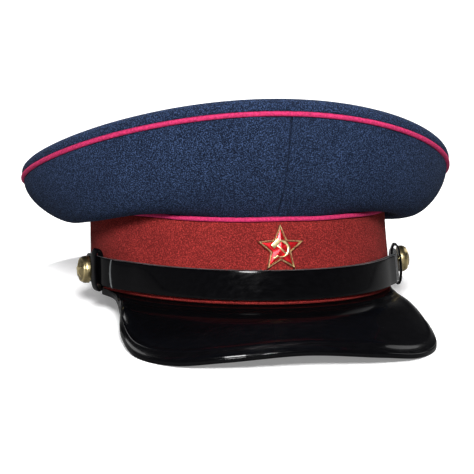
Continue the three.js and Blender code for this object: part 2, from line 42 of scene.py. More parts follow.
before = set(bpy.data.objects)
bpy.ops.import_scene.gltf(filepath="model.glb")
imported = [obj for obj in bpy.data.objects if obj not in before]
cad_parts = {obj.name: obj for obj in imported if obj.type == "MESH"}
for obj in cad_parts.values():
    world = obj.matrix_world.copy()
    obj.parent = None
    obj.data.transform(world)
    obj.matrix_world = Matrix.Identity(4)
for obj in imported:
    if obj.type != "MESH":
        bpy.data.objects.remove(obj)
MM = 0.001

# Turn about X and shift that lay the cap on its peak and on the back of its sweatband
LEAN = np.radians(-5.7874)
SHIFT = np.array([1.8, 5.5958, 13.0893]) * MM

# Clearance between pieces that touch
GAP = 0.3 * MM

# Stations round a ring, and the angle between faces past which an edge is kept sharp
STATIONS = 320
SHARP = np.radians(38)

# Sizes at the front, the side and the back
BAND_HEIGHT = np.array([45.5, 44.5, 42.5]) * MM
BAND_INSET = np.array([7.5, 1.5, 1.5]) * MM
RIM_OVERHANG = np.array([26.5, 39.2, 35.5]) * MM
RIM_RISE = np.array([62, 17.5, -2.5]) * MM

# How far the band's top lies to the left of its foot, and how far the rim sinks on its right
# side and rises on its left one
TOP_STRAY = 1.8 * MM
RIM_TILT = 3 * MM

# Share of its radius by which a piping stands out, and the room between a piping and the cloth
PIPING_OUT = 0.3
PIPING_ROOM = GAP + 0.05 * MM


# User settings


def length(name, description, default):
    return FloatProperty(name=name, description=description, default=default, unit="LENGTH")


def degrees(name, description, default):
    return FloatProperty(
        name=name, description=description, default=np.radians(default), subtype="ANGLE"
    )


def linear(code):
    """sRGB hex colour as linear red, green and blue."""
    channels = np.array([int(code[i : i + 2], 16) for i in (1, 3, 5)]) / 255
    curved = ((channels + 0.055) / 1.055) ** 2.4
    return tuple(float(c) for c in np.where(channels <= 0.04045, channels / 12.92, curved))


def opaque(code):
    """sRGB hex colour as linear red, green, blue and an alpha of 1."""
    return (*linear(code), 1)


def colour(name, description, code):
    return FloatVectorProperty(
        name=name, description=description, default=linear(code), subtype="COLOR", min=0, max=1
    )


class CapCloth(bpy.types.PropertyGroup):
    """Sizes and colours of the crown, the band and the pipings."""

    half_width: length("Half width", "Half the band's width at its lower edge", 90 * MM)
    half_length: length("Half length", "Half the band's length at its lower edge", 103 * MM)
    wall: length("Cloth wall", "Thickness of the crown's cloth", 2 * MM)
    band_wall: length("Band wall", "Thickness of the band", 2.6 * MM)
    rim_piping: length("Rim piping", "Radius of the piping round the rim", 1.4 * MM)
    band_piping: length("Band piping", "Radius of the piping above the band", 1.3 * MM)
    roll: length("Roll", "Radius of the top panel's rolled edge", 4.7 * MM)
    sag: length("Sag", "How far the top panel sinks in the middle", 1.5 * MM)
    waviness: length("Waviness", "How far the seam above the band strays up and down", 0.4 * MM)
    softness: length("Softness", "How far the crown's cloth strays from a smooth shape", 0.45 * MM)
    navy: colour("Crown cloth", "Middle colour of the crown's wool", "#1d283d")
    red: colour("Band cloth", "Middle colour of the band's wool", "#742220")
    raspberry: colour("Piping", "Middle colour of the pipings", "#b42a5a")


class CapLeather(bpy.types.PropertyGroup):
    """Sizes and colours of the peak, the chin strap, its keepers and the sweatband."""

    peak_length: length("Peak length", "How far the peak stands out in front", 49 * MM)
    peak_drop: length("Peak drop", "How far the peak's lowest corner drops", 22.8 * MM)
    peak_thickness: length("Peak thickness", "Thickness of the peak", 3 * MM)
    strap_width: length("Strap width", "Width of the chin strap", 16.4 * MM)
    strap_above: length("Strap height", "Height of the strap above the band's edge", 3.1 * MM)
    strap_thickness: length("Strap thickness", "Thickness of one layer of the strap", 1.6 * MM)
    keeper_at: degrees("Keeper angle", "Angle of the keepers from the front", 75.2)
    keeper_width: length("Keeper width", "Width of a keeper along the strap", 7 * MM)
    patent: colour("Patent leather", "Colour under the patent leather's lacquer", "#040405")
    # The cut edges' light grey is the raw leather and a painted highlight along the strap's edges
    edge: colour("Cut edge", "Colour of the strap's cut edges", "#4a4c4d")
    sweat: colour("Sweatband", "Colour of the sweatband's leather", "#171413")


class CapMetal(bpy.types.PropertyGroup):
    """Sizes and colours of the side buttons and the badge."""

    button_at: degrees("Button angle", "Angle of the side buttons from the front", 82)
    button_radius: length("Button radius", "Radius of a side button", 8 * MM)
    button_dome: length("Button dome", "Height of a side button's dome above its rim", 4.2 * MM)
    badge_radius: length("Badge radius", "Distance from the star's middle to its tips", 13.9 * MM)
    badge_height: length("Badge height", "Height of the star's middle above the edge", 30.9 * MM)
    brass: colour("Brass", "Colour of the polished brass", "#d6c391")
    enamel: colour("Enamel", "Colour of the star's enamel", "#c8101c")


def cloth():
    return bpy.context.scene.cap_cloth


def leather():
    return bpy.context.scene.cap_leather


def metal():
    return bpy.context.scene.cap_metal


# Shape of the cap


def around(t, sizes):
    """Size at angle t: side + tilt cos t + saddle cos squared t, which meets all three sizes."""
    front, side, back = sizes
    c = np.cos(t)
    return side + (front - back) / 2 * c + ((front + back) / 2 - side) * c * c


def grown(ring, sizes):
    """Ellipse that lies the given distances outside another at the front, side and back."""
    front, side, back = sizes
    a, b, x, y = ring
    return a + side, b + (front + back) / 2, x, y + (back - front) / 2


def foot_ring():
    return cloth().half_width, cloth().half_length, 0.0, 0.0


def top_ring():
    a, b, _, y = grown(foot_ring(), -BAND_INSET)
    return a, b, -TOP_STRAY, y


def rim_ring():
    return grown(top_ring(), RIM_OVERHANG)


def on_ring(ring, t, z):
    """Point of an ellipse in plan: (x + a sin t, y - b cos t, z)."""
    a, b, x, y = ring
    t, z = np.broadcast_arrays(t, z)
    return np.stack([x + a * np.sin(t), y - b * np.cos(t), z], axis=-1)


def unit(vectors):
    return vectors / np.linalg.norm(vectors, axis=-1, keepdims=True)


def outward(ring, t):
    """Level normal of an ellipse: (sin t / a, -cos t / b, 0) at length 1."""
    t = np.asarray(t, dtype=float)
    return unit(np.stack([np.sin(t) / ring[0], -np.cos(t) / ring[1], 0 * t], axis=-1))


def up(amount):
    """Vectors that point straight up, as long as amount."""
    amount = np.asarray(amount, dtype=float)
    return np.stack([0 * amount, 0 * amount, amount], axis=-1)


def band_point(t, z, out):
    """Point on the band: its foot and top ellipses mixed by height, then moved outward by out."""
    t, z, out = np.broadcast_arrays(t, z, out)
    share = (z / around(t, BAND_HEIGHT))[..., None]
    face = on_ring(foot_ring(), t, z) * (1 - share) + on_ring(top_ring(), t, z) * share
    return face + outward(foot_ring(), t) * out[..., None]


def band_top(t):
    """Height of the seam above the band: the band's own height and a slow wave of the cloth."""
    wave = np.sin(5 * t + 0.6) * 0.5 + np.sin(9 * t + 2.2) * 0.3 + np.sin(14 * t + 0.9) * 0.2
    return around(t, BAND_HEIGHT) + cloth().waviness * wave


def rim_point(t):
    """Middle of the seam round the rim: its ellipse at the band's height, plus rise and tilt."""
    height = around(t, BAND_HEIGHT) + around(t, RIM_RISE) - RIM_TILT * np.sin(t)
    return on_ring(rim_ring(), t, height)


def band_piping_point(t):
    """Middle of the piping above the band, a gap and its radius above the band's top."""
    radius = cloth().band_piping
    t = np.asarray(t, dtype=float)
    return band_point(t, band_top(t), PIPING_OUT * radius) + up(GAP + radius + 0 * t)


# Meshes


def place(points):
    """Points of the cap's own frame turned about X by the lean and moved by the shift."""
    c, s = np.cos(LEAN), np.sin(LEAN)
    turned = points @ np.array([[1, 0, 0], [0, c, s], [0, -s, c]])
    return turned + SHIFT


def surface(name, grids, materials, slot, nodes, faces_of=None, **attributes):
    """One piece from grids of points, each (rows, columns, 3), with seams and poles merged.

    faces_of gives a material number for each column of faces, and each attribute is a float
    for each point of the only grid. The UV map is the distance along and across in metres.
    """
    mesh = bpy.data.meshes.new(name)
    corners, quads, uvs, start = [], [], [], 0
    for grid in grids:
        rows, columns = grid.shape[:2]
        index = start + np.arange(rows * columns).reshape(rows, columns)
        quad = np.stack([index[:-1, :-1], index[1:, :-1], index[1:, 1:], index[:-1, 1:]], axis=-1)
        quads.append(quad.reshape(-1, 4))
        corners.append(place(grid).reshape(-1, 3))
        middle = columns // 4
        along = np.linalg.norm(np.diff(grid[:, middle], axis=0), axis=-1)
        across = np.linalg.norm(np.diff(grid[rows // 2], axis=0), axis=-1)
        along = np.concatenate([[0], np.cumsum(along)])
        across = np.concatenate([[0], np.cumsum(across)])
        uvs.append(np.stack(np.meshgrid(along, across, indexing="ij"), axis=-1).reshape(-1, 2))
        start += rows * columns
    corners, quads, uvs = np.concatenate(corners), np.concatenate(quads), np.concatenate(uvs)
    mesh.vertices.add(len(corners))
    mesh.vertices.foreach_set("co", corners.ravel())
    mesh.loops.add(quads.size)
    mesh.loops.foreach_set("vertex_index", quads.ravel())
    mesh.polygons.add(len(quads))
    mesh.polygons.foreach_set("loop_start", np.arange(len(quads)) * 4)
    if faces_of is not None:
        numbers = np.broadcast_to(faces_of, (len(quads) // faces_of.shape[-1], faces_of.shape[-1]))
        mesh.polygons.foreach_set("material_index", numbers.ravel().astype(np.int32))
    layer = mesh.uv_layers.new(name="cloth")
    layer.uv.foreach_set("vector", uvs[quads.ravel()].ravel())
    for key, values in attributes.items():
        mesh.attributes.new(key, "FLOAT", "POINT").data.foreach_set("value", values.ravel())
    mesh.update(calc_edges=True)
    shell = bmesh.new()
    shell.from_mesh(mesh)
    bmesh.ops.remove_doubles(shell, verts=shell.verts, dist=2e-6)
    bmesh.ops.dissolve_degenerate(shell, dist=1e-7, edges=shell.edges)
    bmesh.ops.recalc_face_normals(shell, faces=shell.faces)
    shell.to_mesh(mesh)
    shell.free()
    mesh.polygons.foreach_set("use_smooth", np.ones(len(mesh.polygons), dtype=bool))
    mesh.set_sharp_from_angle(angle=SHARP)
    for material in materials:
        mesh.materials.append(material)
    piece = bpy.data.objects.new(name, mesh)
    bpy.context.scene.collection.objects.link(piece)
    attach(piece, "root")
    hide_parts(*nodes)
    return piece


def ring_angles():
    return np.linspace(0, 2 * np.pi, STATIONS + 1)[:, None]


def sandwich(outer, inner):
    """Closed section from two sides that run the same way: along the outer, back by the inner."""
    return np.concatenate([outer, inner[:, ::-1], outer[:, :1]], axis=1)


def closed_ends(grid):
    """Adds a row at each end in which each point meets the one across from it."""
    first = (grid[:1] + grid[:1, ::-1]) / 2
    last = (grid[-1:] + grid[-1:, ::-1]) / 2
    return np.concatenate([first, grid, last])


def smooth_step(low, high, x):
    """0 below low, 1 above high, and 3 s squared - 2 s cubed between."""
    s = np.clip((x - low) / (high - low), 0, 1)
    return s * s * (3 - 2 * s)


def bump_at(x, middle, width):
    """Bell of height 1: e to the minus square of the distance from the middle over the width."""
    return np.exp(-(((x - middle) / width) ** 2))


def signed_power(value, power):
    """Size of a value to a power, with its sign: squares a circle where the power is under 1."""
    return np.sign(value) * np.abs(value) ** power


# Materials


def add_node(material, kind, links=(), **settings):
    """Adds a node to a material or world, with its settings by name of input or property.

    Links are (name or number of the input, the socket or the constant that it takes).
    """
    node = material.node_tree.nodes.new(kind)
    for key, value in settings.items():
        if key in node.inputs:
            node.inputs[key].default_value = value
        elif key.replace("_", " ") in node.inputs:
            node.inputs[key.replace("_", " ")].default_value = value
        else:
            setattr(node, key, value)
    for socket, source in links:
        if isinstance(source, bpy.types.NodeSocket):
            material.node_tree.links.new(node.inputs[socket], source)
        else:
            node.inputs[socket].default_value = source
    return node


def made_once(name, maker, tone):
    """Material of that name, made only the first time that a piece asks for it."""
    return bpy.data.materials.get(name) or maker(name, tone)


def new_material(name, viewport):
    material = bpy.data.materials.new(name)
    material.use_nodes = True
    material.diffuse_color = (*viewport, 1)
    material.node_tree.nodes.clear()
    return material


def shade(tone, factor):
    """A colour made darker or lighter, kept within 0 to 1."""
    return (*np.clip(np.array(tone) * factor, 0, 1), 1)


def ramp(material, source, stops):
    """Colour ramp over a value, from (place, colour) stops."""
    node = add_node(material, "ShaderNodeValToRGB", links=[("Fac", source)])
    elements = node.color_ramp.elements
    for _ in range(len(stops) - 2):
        elements.new(0.5)
    for element, (position, tone) in zip(elements, stops):
        element.position = position
        element.color = tone
    return node.outputs["Color"]


def finish_material(material, shader):
    add_node(material, "ShaderNodeOutputMaterial", links=[("Surface", shader.outputs["BSDF"])])
    return material


# How far each wool's flecks stray from its middle colour, and the colour of its bloom
NAVY_CONTRAST, NAVY_BLOOM = 0.65, "#95ade1"
RED_CONTRAST, RED_BLOOM = 0.28, "#f3a095"


def milled_wool(name, tone, contrast, bloom):
    """Milled wool: felted short fibres that hide the weave, so the eye sees a fine speckle of
    lighter and darker fibres, soft blotches and a faint bloom at grazing angles. The fibres are
    0.02 mm thick and are drawn as 0.6 to 0.8 mm flecks, so that they show."""
    material = new_material(name, tone)
    place_of = add_node(material, "ShaderNodeTexCoord").outputs["Object"]
    fleck = add_node(
        material, "ShaderNodeTexNoise", [("Vector", place_of)], Scale=1 / (0.64 * MM), Detail=2.0,
        Roughness=0.6,
    ).outputs["Fac"]
    fibre = add_node(
        material, "ShaderNodeTexVoronoi", [("Vector", place_of)], Scale=1 / (0.8 * MM),
        Randomness=1.0,
    ).outputs["Distance"]
    blotch = add_node(
        material, "ShaderNodeTexNoise", [("Vector", place_of)], Scale=1 / (22 * MM), Detail=2.0
    ).outputs["Fac"]
    flecks = ramp(
        material, fleck,
        [(0.36, shade(tone, 1 - contrast)), (0.47, shade(tone, 0.65)),
         (0.54, shade(tone, 1.3)), (0.64, shade(tone, 1 + 4 * contrast))],
    )
    tint = ramp(material, blotch, [(0.35, opaque("#e7e7ea")), (0.65, opaque("#ffffff"))])
    base = add_node(
        material, "ShaderNodeMix", [(0, 0.7), (6, flecks), (7, tint)], data_type="RGBA",
        blend_type="MULTIPLY",
    )
    height = add_node(
        material, "ShaderNodeMath", [(0, fleck), (1, fibre)], operation="ADD"
    ).outputs[0]
    bump = add_node(
        material, "ShaderNodeBump", [("Height", height)], Strength=0.75, Distance=0.4 * MM
    )
    shader = add_node(
        material, "ShaderNodeBsdfPrincipled",
        [("Base Color", base.outputs[2]), ("Normal", bump.outputs["Normal"])],
        Roughness=0.95, Specular_IOR_Level=0.08, Sheen_Weight=0.03, Sheen_Roughness=0.5,
        Sheen_Tint=opaque(bloom),
    )
    return finish_material(material, shader)


def piping_wool(name, tone):
    """Wool cloth cut on the bias and folded round a cord: fine ribs of 0.5 mm run slantwise round
    it, here from the piece's own UV map, with a soft fleck over them."""
    material = new_material(name, tone)
    coords = add_node(material, "ShaderNodeTexCoord")
    slant = add_node(
        material, "ShaderNodeMapping", [("Vector", coords.outputs["UV"])],
        Rotation=(0, 0, np.radians(38)),
    )
    ribs = add_node(
        material, "ShaderNodeTexWave", [("Vector", slant.outputs["Vector"])], Scale=1 / (3.3 * MM),
        Distortion=3.0, Detail=2.0, Detail_Scale=2.0,
    ).outputs["Fac"]
    fleck = add_node(
        material, "ShaderNodeTexNoise", [("Vector", coords.outputs["Object"])],
        Scale=1 / (1.1 * MM), Detail=3.0, Roughness=0.7,
    ).outputs["Fac"]
    height = add_node(
        material, "ShaderNodeMath", [(0, ribs), (1, 0.35), (2, fleck)], operation="MULTIPLY_ADD"
    )
    base = ramp(
        material, fleck,
        [(0.3, shade(tone, 0.5)), (0.5, shade(tone, 1.0)), (0.7, shade(tone, 1.5))],
    )
    bump = add_node(
        material, "ShaderNodeBump", [("Height", height.outputs[0])], Strength=0.6,
        Distance=0.3 * MM,
    )
    shader = add_node(
        material, "ShaderNodeBsdfPrincipled",
        [("Base Color", base), ("Normal", bump.outputs["Normal"])],
        Roughness=0.85, Specular_IOR_Level=0.2, Sheen_Weight=0.15, Sheen_Roughness=0.5,
        Sheen_Tint=shade(tone, 1.6),
    )
    return finish_material(material, shader)


def patent_leather(name, tone):
    """Patent leather: leather under a poured, polished lacquer. It is a near-black mirror with a
    faint orange peel some millimetres wide, and hairline scratches that dull it in places."""
    material = new_material(name, tone)
    place_of = add_node(material, "ShaderNodeTexCoord").outputs["Object"]
    peel = add_node(
        material, "ShaderNodeTexNoise", [("Vector", place_of)], Scale=1 / (7 * MM), Detail=2.0
    ).outputs["Fac"]
    stretched = add_node(
        material, "ShaderNodeMapping", [("Vector", place_of)], Scale=(1, 9, 3),
        Rotation=(0.3, 0.2, 0.5),
    ).outputs["Vector"]
    scratch = add_node(
        material, "ShaderNodeTexNoise", [("Vector", stretched)], Scale=1 / (9 * MM), Detail=6.0,
        Roughness=0.7,
    ).outputs["Fac"]
    rough = add_node(
        material, "ShaderNodeMapRange", [("Value", scratch)],
        From_Min=0.35, From_Max=0.75, To_Min=0.1, To_Max=0.3,
    )
    base = ramp(material, scratch, [(0.4, (*tone, 1)), (0.8, shade(tone, 2.2))])
    bump = add_node(
        material, "ShaderNodeBump", [("Height", peel)], Strength=0.25, Distance=0.12 * MM
    )
    shader = add_node(
        material, "ShaderNodeBsdfPrincipled",
        [("Base Color", base), ("Roughness", rough.outputs[0]), ("Normal", bump.outputs["Normal"])],
        Specular_IOR_Level=0.04, Coat_Weight=0.17, Coat_Roughness=0.025, Coat_IOR=1.4,
    )
    return finish_material(material, shader)


def grained_leather(name, tone, roughness):
    """Dyed leather that was never lacquered: pebbled grain with cells of about 1 mm, worn a
    little lighter in soft patches."""
    material = new_material(name, tone)
    place_of = add_node(material, "ShaderNodeTexCoord").outputs["Object"]
    cells = add_node(
        material, "ShaderNodeTexVoronoi", [("Vector", place_of)], Scale=1 / (1.1 * MM),
        feature="SMOOTH_F1",
    ).outputs["Distance"]
    wear = add_node(
        material, "ShaderNodeTexNoise", [("Vector", place_of)], Scale=1 / (14 * MM), Detail=5.0
    ).outputs["Fac"]
    base = ramp(material, wear, [(0.3, shade(tone, 0.75)), (0.72, shade(tone, 1.7))])
    bump = add_node(
        material, "ShaderNodeBump", [("Height", cells)], Strength=0.5, Distance=0.25 * MM
    )
    shader = add_node(
        material, "ShaderNodeBsdfPrincipled",
        [("Base Color", base), ("Normal", bump.outputs["Normal"])], Roughness=roughness,
        Specular_IOR_Level=0.4,
    )
    return finish_material(material, shader)


def stamped_brass(name, tone):
    """Struck brass, polished on its high places: warm and bright on the relief, a painted
    highlight, and darker and duller in the recesses, tarnish and painted shade, which the piece's
    relief attribute marks."""
    material = new_material(name, tone)
    place_of = add_node(material, "ShaderNodeTexCoord").outputs["Object"]
    relief = add_node(material, "ShaderNodeAttribute", attribute_name="relief").outputs["Fac"]
    haze = add_node(
        material, "ShaderNodeTexNoise", [("Vector", place_of)], Scale=1 / (1.6 * MM), Detail=5.0
    ).outputs["Fac"]
    # Colour by relief: tarnish and painted shade in recesses, painted highlight on high places
    base = ramp(
        material, relief, [(0, shade(tone, 0.35)), (0.6, (*tone, 1)), (1, shade(tone, 1.2))]
    )
    rough = add_node(
        material, "ShaderNodeMapRange", [("Value", haze)],
        From_Min=0.3, From_Max=0.7, To_Min=0.24, To_Max=0.42,
    )
    bump = add_node(
        material, "ShaderNodeBump", [("Height", haze)], Strength=0.15, Distance=0.05 * MM
    )
    shader = add_node(
        material, "ShaderNodeBsdfPrincipled",
        [("Base Color", base), ("Roughness", rough.outputs[0]), ("Normal", bump.outputs["Normal"])],
        Metallic=1.0,
    )
    return finish_material(material, shader)


def fired_enamel(name, tone):
    """Clear red enamel fired over struck metal: each facet flashes like tinted metal under a
    glassy skin, and goes nearly black where it turns from the light."""
    material = new_material(name, tone)
    place_of = add_node(material, "ShaderNodeTexCoord").outputs["Object"]
    cloud = add_node(
        material, "ShaderNodeTexNoise", [("Vector", place_of)], Scale=1 / (2.5 * MM), Detail=3.0
    ).outputs["Fac"]
    base = ramp(material, cloud, [(0.3, shade(tone, 0.6)), (0.7, shade(tone, 1.25))])
    bump = add_node(
        material, "ShaderNodeBump", [("Height", cloud)], Strength=0.2, Distance=0.08 * MM
    )
    shader = add_node(
        material, "ShaderNodeBsdfPrincipled",
        [("Base Color", base), ("Normal", bump.outputs["Normal"])], Metallic=0.7, Roughness=0.35,
        Coat_Weight=0.06, Coat_Roughness=0.1, Coat_IOR=1.5,
    )
    return finish_material(material, shader)


# Crown

# Steps up the side, round the piping below it, across the top panel and round its rolled edge
PROFILE_STEPS = 44
TURN_STEPS = 8
PANEL_STEPS = 34
ROLL_STEPS = 14

# Degrees round the piping, from straight out, at which the side begins above its flat collar
TURN_FROM = 140
COLLAR_WALL = 1.7 * MM

# At the front, side and back: degrees at which the cloth leaves the piping and reaches the rim,
# and how far each end pulls, as a share of the straight way between them
LEAVE_SLOPE = (42, -88, -76)
LEAVE_PULL = (0.34, 0.6, 0.56)
REACH_SLOPE = (84, 88, 84)
REACH_PULL = (0.36, 0.42, 0.36)

# Seams in front, over the ears and behind, on five of the 56 stations of the solids
SEAMS = np.radians(np.array([0, 16, 28, 40, 56]) * 360 / 56)

# How far from a seam the cloth rolls in and how deep, and the crown's radius there
SEAM_ROLL = 1.0 * MM
SEAM_DIP = 1.6 * MM
SEAM_RADIUS = 95 * MM

# Distances of the stations close to a seam, and where the even ones begin and end, in radians
SEAM_STATIONS = np.array([0.08, 0.2, 0.4, 0.7, 1.1, 1.6, 2.2, 3]) * MM
EVEN_FROM, EVEN_TO = 0.06, 0.045

# Angle by which the rolled edge's middle stands above the rim, and that of its room there
ROLL_START = np.radians(43)
ROLL_ROOM = np.radians(2)


def turn_point(t, share, depth):
    """Cloth round the piping above the band: a circle's arc, from its collar to the slope."""
    start = np.radians(TURN_FROM)
    angle = start + (np.radians(around(t, LEAVE_SLOPE) + 90) - start) * share
    reach = cloth().band_piping + PIPING_ROOM + depth
    flat = outward(foot_ring(), t) * (reach * np.cos(angle))[..., None]
    return band_piping_point(t) + flat + up(reach * np.sin(angle))


def crown_face(t, share):
    """Crown's outer face: a cubic curve from the piping, share 0, to the rim, share 1."""
    t, share = np.broadcast_arrays(t, share)
    start = turn_point(t, np.ones_like(t), 0)
    end = rim_point(t) - up(cloth().rim_piping + PIPING_ROOM + 0 * t)
    level = unit((end - start) * (1, 1, 0))
    chord = np.linalg.norm(end - start, axis=-1)

    def pull(slope, part):
        angle = np.radians(around(t, slope))
        reach = chord * around(t, part)
        return level * (reach * np.cos(angle))[..., None] + up(reach * np.sin(angle))

    leave = start + pull(LEAVE_SLOPE, LEAVE_PULL)
    arrive = end - pull(REACH_SLOPE, REACH_PULL)
    s = share[..., None]
    return (
        start * (1 - s) ** 3 + leave * 3 * s * (1 - s) ** 2 + arrive * 3 * s * s * (1 - s)
        + end * s ** 3
    )


def crown_normal(t, share):
    """Unit vector out of the crown's face: the cross product of its slopes round and up."""
    step = 1e-3
    low, high = np.maximum(share - step, 0), np.minimum(share + step, 1)
    along = crown_face(t + step, share) - crown_face(t - step, share)
    return unit(np.cross(along, crown_face(t, high) - crown_face(t, low)))


def ripple(t, share):
    """Slow waves of soft cloth, none at the seams above and below."""
    wave = np.sin(4 * t + 5 * share) * 0.5 + np.sin(7 * t - 3 * share + 1.3) * 0.3
    wave = wave + np.sin(11 * t + 8 * share + 0.4) * 0.2
    return cloth().softness * wave * np.sin(np.pi * share)


def crown_side(t, depth, dip):
    """One side of the crown's cloth: collar, arc round the piping, then the face, all set back."""
    piping = cloth().band_piping
    reach = PIPING_OUT * piping + (piping + GAP) * np.cos(np.radians(TURN_FROM))
    reach = reach - (COLLAR_WALL if depth else 0) - dip
    collar = band_point(t, band_top(t), 0) + outward(foot_ring(), t) * reach[..., None]
    arc = turn_point(t, np.linspace(0, 1, TURN_STEPS + 1)[None, :], depth + dip)
    share = np.linspace(0, 1, PROFILE_STEPS + 1)[None, 1:]
    push = ripple(t, share) - depth - dip
    face = crown_face(t, share) + crown_normal(t, share) * push[..., None]
    return np.concatenate([collar + up(GAP + 0 * t), arc, face], axis=1)


def quarter_grid(first, last):
    """A quarter of the crown's side, closed, its edges rolled in over a few stations at a seam."""
    near = SEAM_STATIONS / SEAM_RADIUS
    inner = np.arange(first + EVEN_FROM, last - EVEN_TO, 2 * np.pi / STATIONS)
    t = np.concatenate([first + near, inner, last - near[::-1]])[:, None]
    distance = np.minimum(t - first, last - t) * SEAM_RADIUS
    dip = SEAM_DIP * np.clip(1 - distance / SEAM_ROLL, 0, 1) ** 2
    return closed_ends(sandwich(crown_side(t, 0, dip), crown_side(t, cloth().wall, dip)))


def top_side(t, depth):
    """One side of the top panel: an arc rolled up from the rim, then a shallow dish to the middle.

    The dish's height is middle + slope s + bow s squared for a share s of the way to its edge.
    """
    roll, start = cloth().roll, ROLL_START
    rise = BAND_HEIGHT + RIM_RISE
    saddle = (rise[0] + rise[2]) / 2 - rise[1]
    middle = rise[1] + saddle / 2 - cloth().sag + roll * np.sin(start) + roll - depth
    out = outward(rim_ring(), t)
    centre = rim_point(t) - out * roll * np.cos(start) + up(roll * np.sin(start) + 0 * t)
    low = -start + (cloth().rim_piping + GAP) / roll + ROLL_ROOM
    angle = np.linspace(low, np.pi / 2, ROLL_STEPS + 1)[None, :]
    arc = centre + out * ((roll - depth) * np.cos(angle))[..., None]
    arc = arc + up((roll - depth) * np.sin(angle) + 0 * t)
    edge = arc[:, -1:]
    share = np.linspace(1, 0, PANEL_STEPS + 1)[None, 1:]
    slope = (rise[0] - rise[2]) / 2 * np.cos(t) - RIM_TILT * np.sin(t)
    bow = edge[..., 2] - middle - slope
    heart = np.array([*rim_ring()[2:], 0])
    panel = heart * (1 - share[..., None]) + edge * share[..., None]
    wave = np.sin(3 * t + 4 * share) * 0.6 + np.sin(5 * t - 6 * share + 2) * 0.4
    panel[..., 2] = middle + slope * share + bow * share ** 2
    panel[..., 2] += cloth().softness * wave * np.sin(np.pi * share) * share
    return np.concatenate([arc, panel], axis=1)


class CAP_OT_crown(bpy.types.Operator):
    """Make the crown: its top panel and the four quarters of its side"""

    bl_idname = "cap.crown"
    bl_label = "Crown"

    def execute(self, context):
        wool = milled_wool("milled_wool_navy", cloth().navy, NAVY_CONTRAST, NAVY_BLOOM)
        t = ring_angles()
        top = sandwich(top_side(t, 0), top_side(t, cloth().wall))
        surface("crown_top_cloth", [top], [wool], "navy_cloth", ["crown_top"])
        names = ("front_right", "back_right", "back_left", "front_left")
        for name, first, last in zip(names, SEAMS[:-1], SEAMS[1:]):
            grid = quarter_grid(first, last)
            surface(f"crown_{name}_cloth", [grid], [wool], "navy_cloth", [f"quarter_{name}"])
        return {"FINISHED"}


# Pipings

CORD_POINTS = 20


def cord_grid(middle, out, radius):
    """Round cord along a ring of middles: radius times (out cos a + rise sin a) about each."""
    ahead = np.roll(middle[:-1], -1, axis=0) - np.roll(middle[:-1], 1, axis=0)
    ahead = unit(np.concatenate([ahead, ahead[:1]]))
    rise = unit(np.cross(out, ahead))
    angle = np.linspace(0, 2 * np.pi, CORD_POINTS + 1)[None, :, None]
    circle = out[:, None] * np.cos(angle) + rise[:, None] * np.sin(angle)
    return middle[:, None] + radius * circle


class CAP_OT_pipings(bpy.types.Operator):
    """Make the pipings round the rim and above the band"""

    bl_idname = "cap.pipings"
    bl_label = "Pipings"

    def execute(self, context):
        wool = piping_wool("piping_wool_raspberry", cloth().raspberry)
        t = np.linspace(0, 2 * np.pi, 2 * STATIONS + 1)
        out = outward(foot_ring(), t)
        grid = cord_grid(band_piping_point(t), out, cloth().band_piping)
        surface("piping_above_band", [grid], [wool], "crimson_piping", ["piping_band"])
        out = outward(rim_ring(), t)
        radius = cloth().rim_piping
        grid = cord_grid(rim_point(t) + out * PIPING_OUT * radius, out, radius)
        surface("piping_round_rim", [grid], [wool], "crimson_piping", ["piping_rim"])
        return {"FINISHED"}


# Band and sweatband

# Band: radius of its turned-under edge, how far that edge swells out, how far the top edge is
# rounded and how deep its slow waves are
BAND_EDGE = 1.3 * MM
BAND_SWELL = 1.2 * MM
TOP_ROUND = 0.6 * MM
BAND_WAVE = 0.15 * MM

# Depth and width of the fold at the band's back seam, and the band's radius there
BACK_FOLD, BACK_FOLD_WIDTH = 0.45 * MM, 0.7 * MM
BACK_RADIUS = 96 * MM

# Sweatband: thickness, and the heights of its edges above the band's
SWEAT_WALL = 1.4 * MM
SWEAT_LOW, SWEAT_HIGH = -3 * MM, 38 * MM


class CAP_OT_band(bpy.types.Operator):
    """Make the band of red cloth, with its lower edge turned under in a soft roll"""

    bl_idname = "cap.band"
    bl_label = "Band"

    def execute(self, context):
        wool = milled_wool("milled_wool_red", cloth().red, RED_CONTRAST, RED_BLOOM)
        t = ring_angles()
        wall, edge = cloth().band_wall, BAND_EDGE
        turn = np.linspace(-np.pi / 2, 0, 7)[None, :]
        height = band_top(t)
        face = edge + (height - TOP_ROUND - edge) * np.linspace(0, 1, 25)[None, 1:]
        roll_out, roll_z = edge * (np.cos(turn) - 1), edge * (1 + np.sin(turn))
        swell = BAND_SWELL * bump_at(face, edge, edge)
        fold = BACK_FOLD * bump_at(np.abs(t - np.pi) * BACK_RADIUS, 0, BACK_FOLD_WIDTH)
        wave = BAND_WAVE * np.sin(6 * t + face * 120) * (face > edge)
        outer = np.concatenate([
            band_point(t, 0, -wall / 2),
            band_point(t, roll_z, roll_out + BAND_SWELL * bump_at(roll_z, edge, edge)),
            band_point(t, face, swell - fold + wave),
            band_point(t, height - TOP_ROUND / 4, -TOP_ROUND / 3),
            band_point(t, height, -TOP_ROUND),
        ], axis=1)
        inner_z = np.linspace(0, 1, outer.shape[1])[None, :] * height
        inner = band_point(t, inner_z, -wall)
        surface("band_cloth", [sandwich(outer, inner)], [wool], "red_cloth", ["band"])
        return {"FINISHED"}


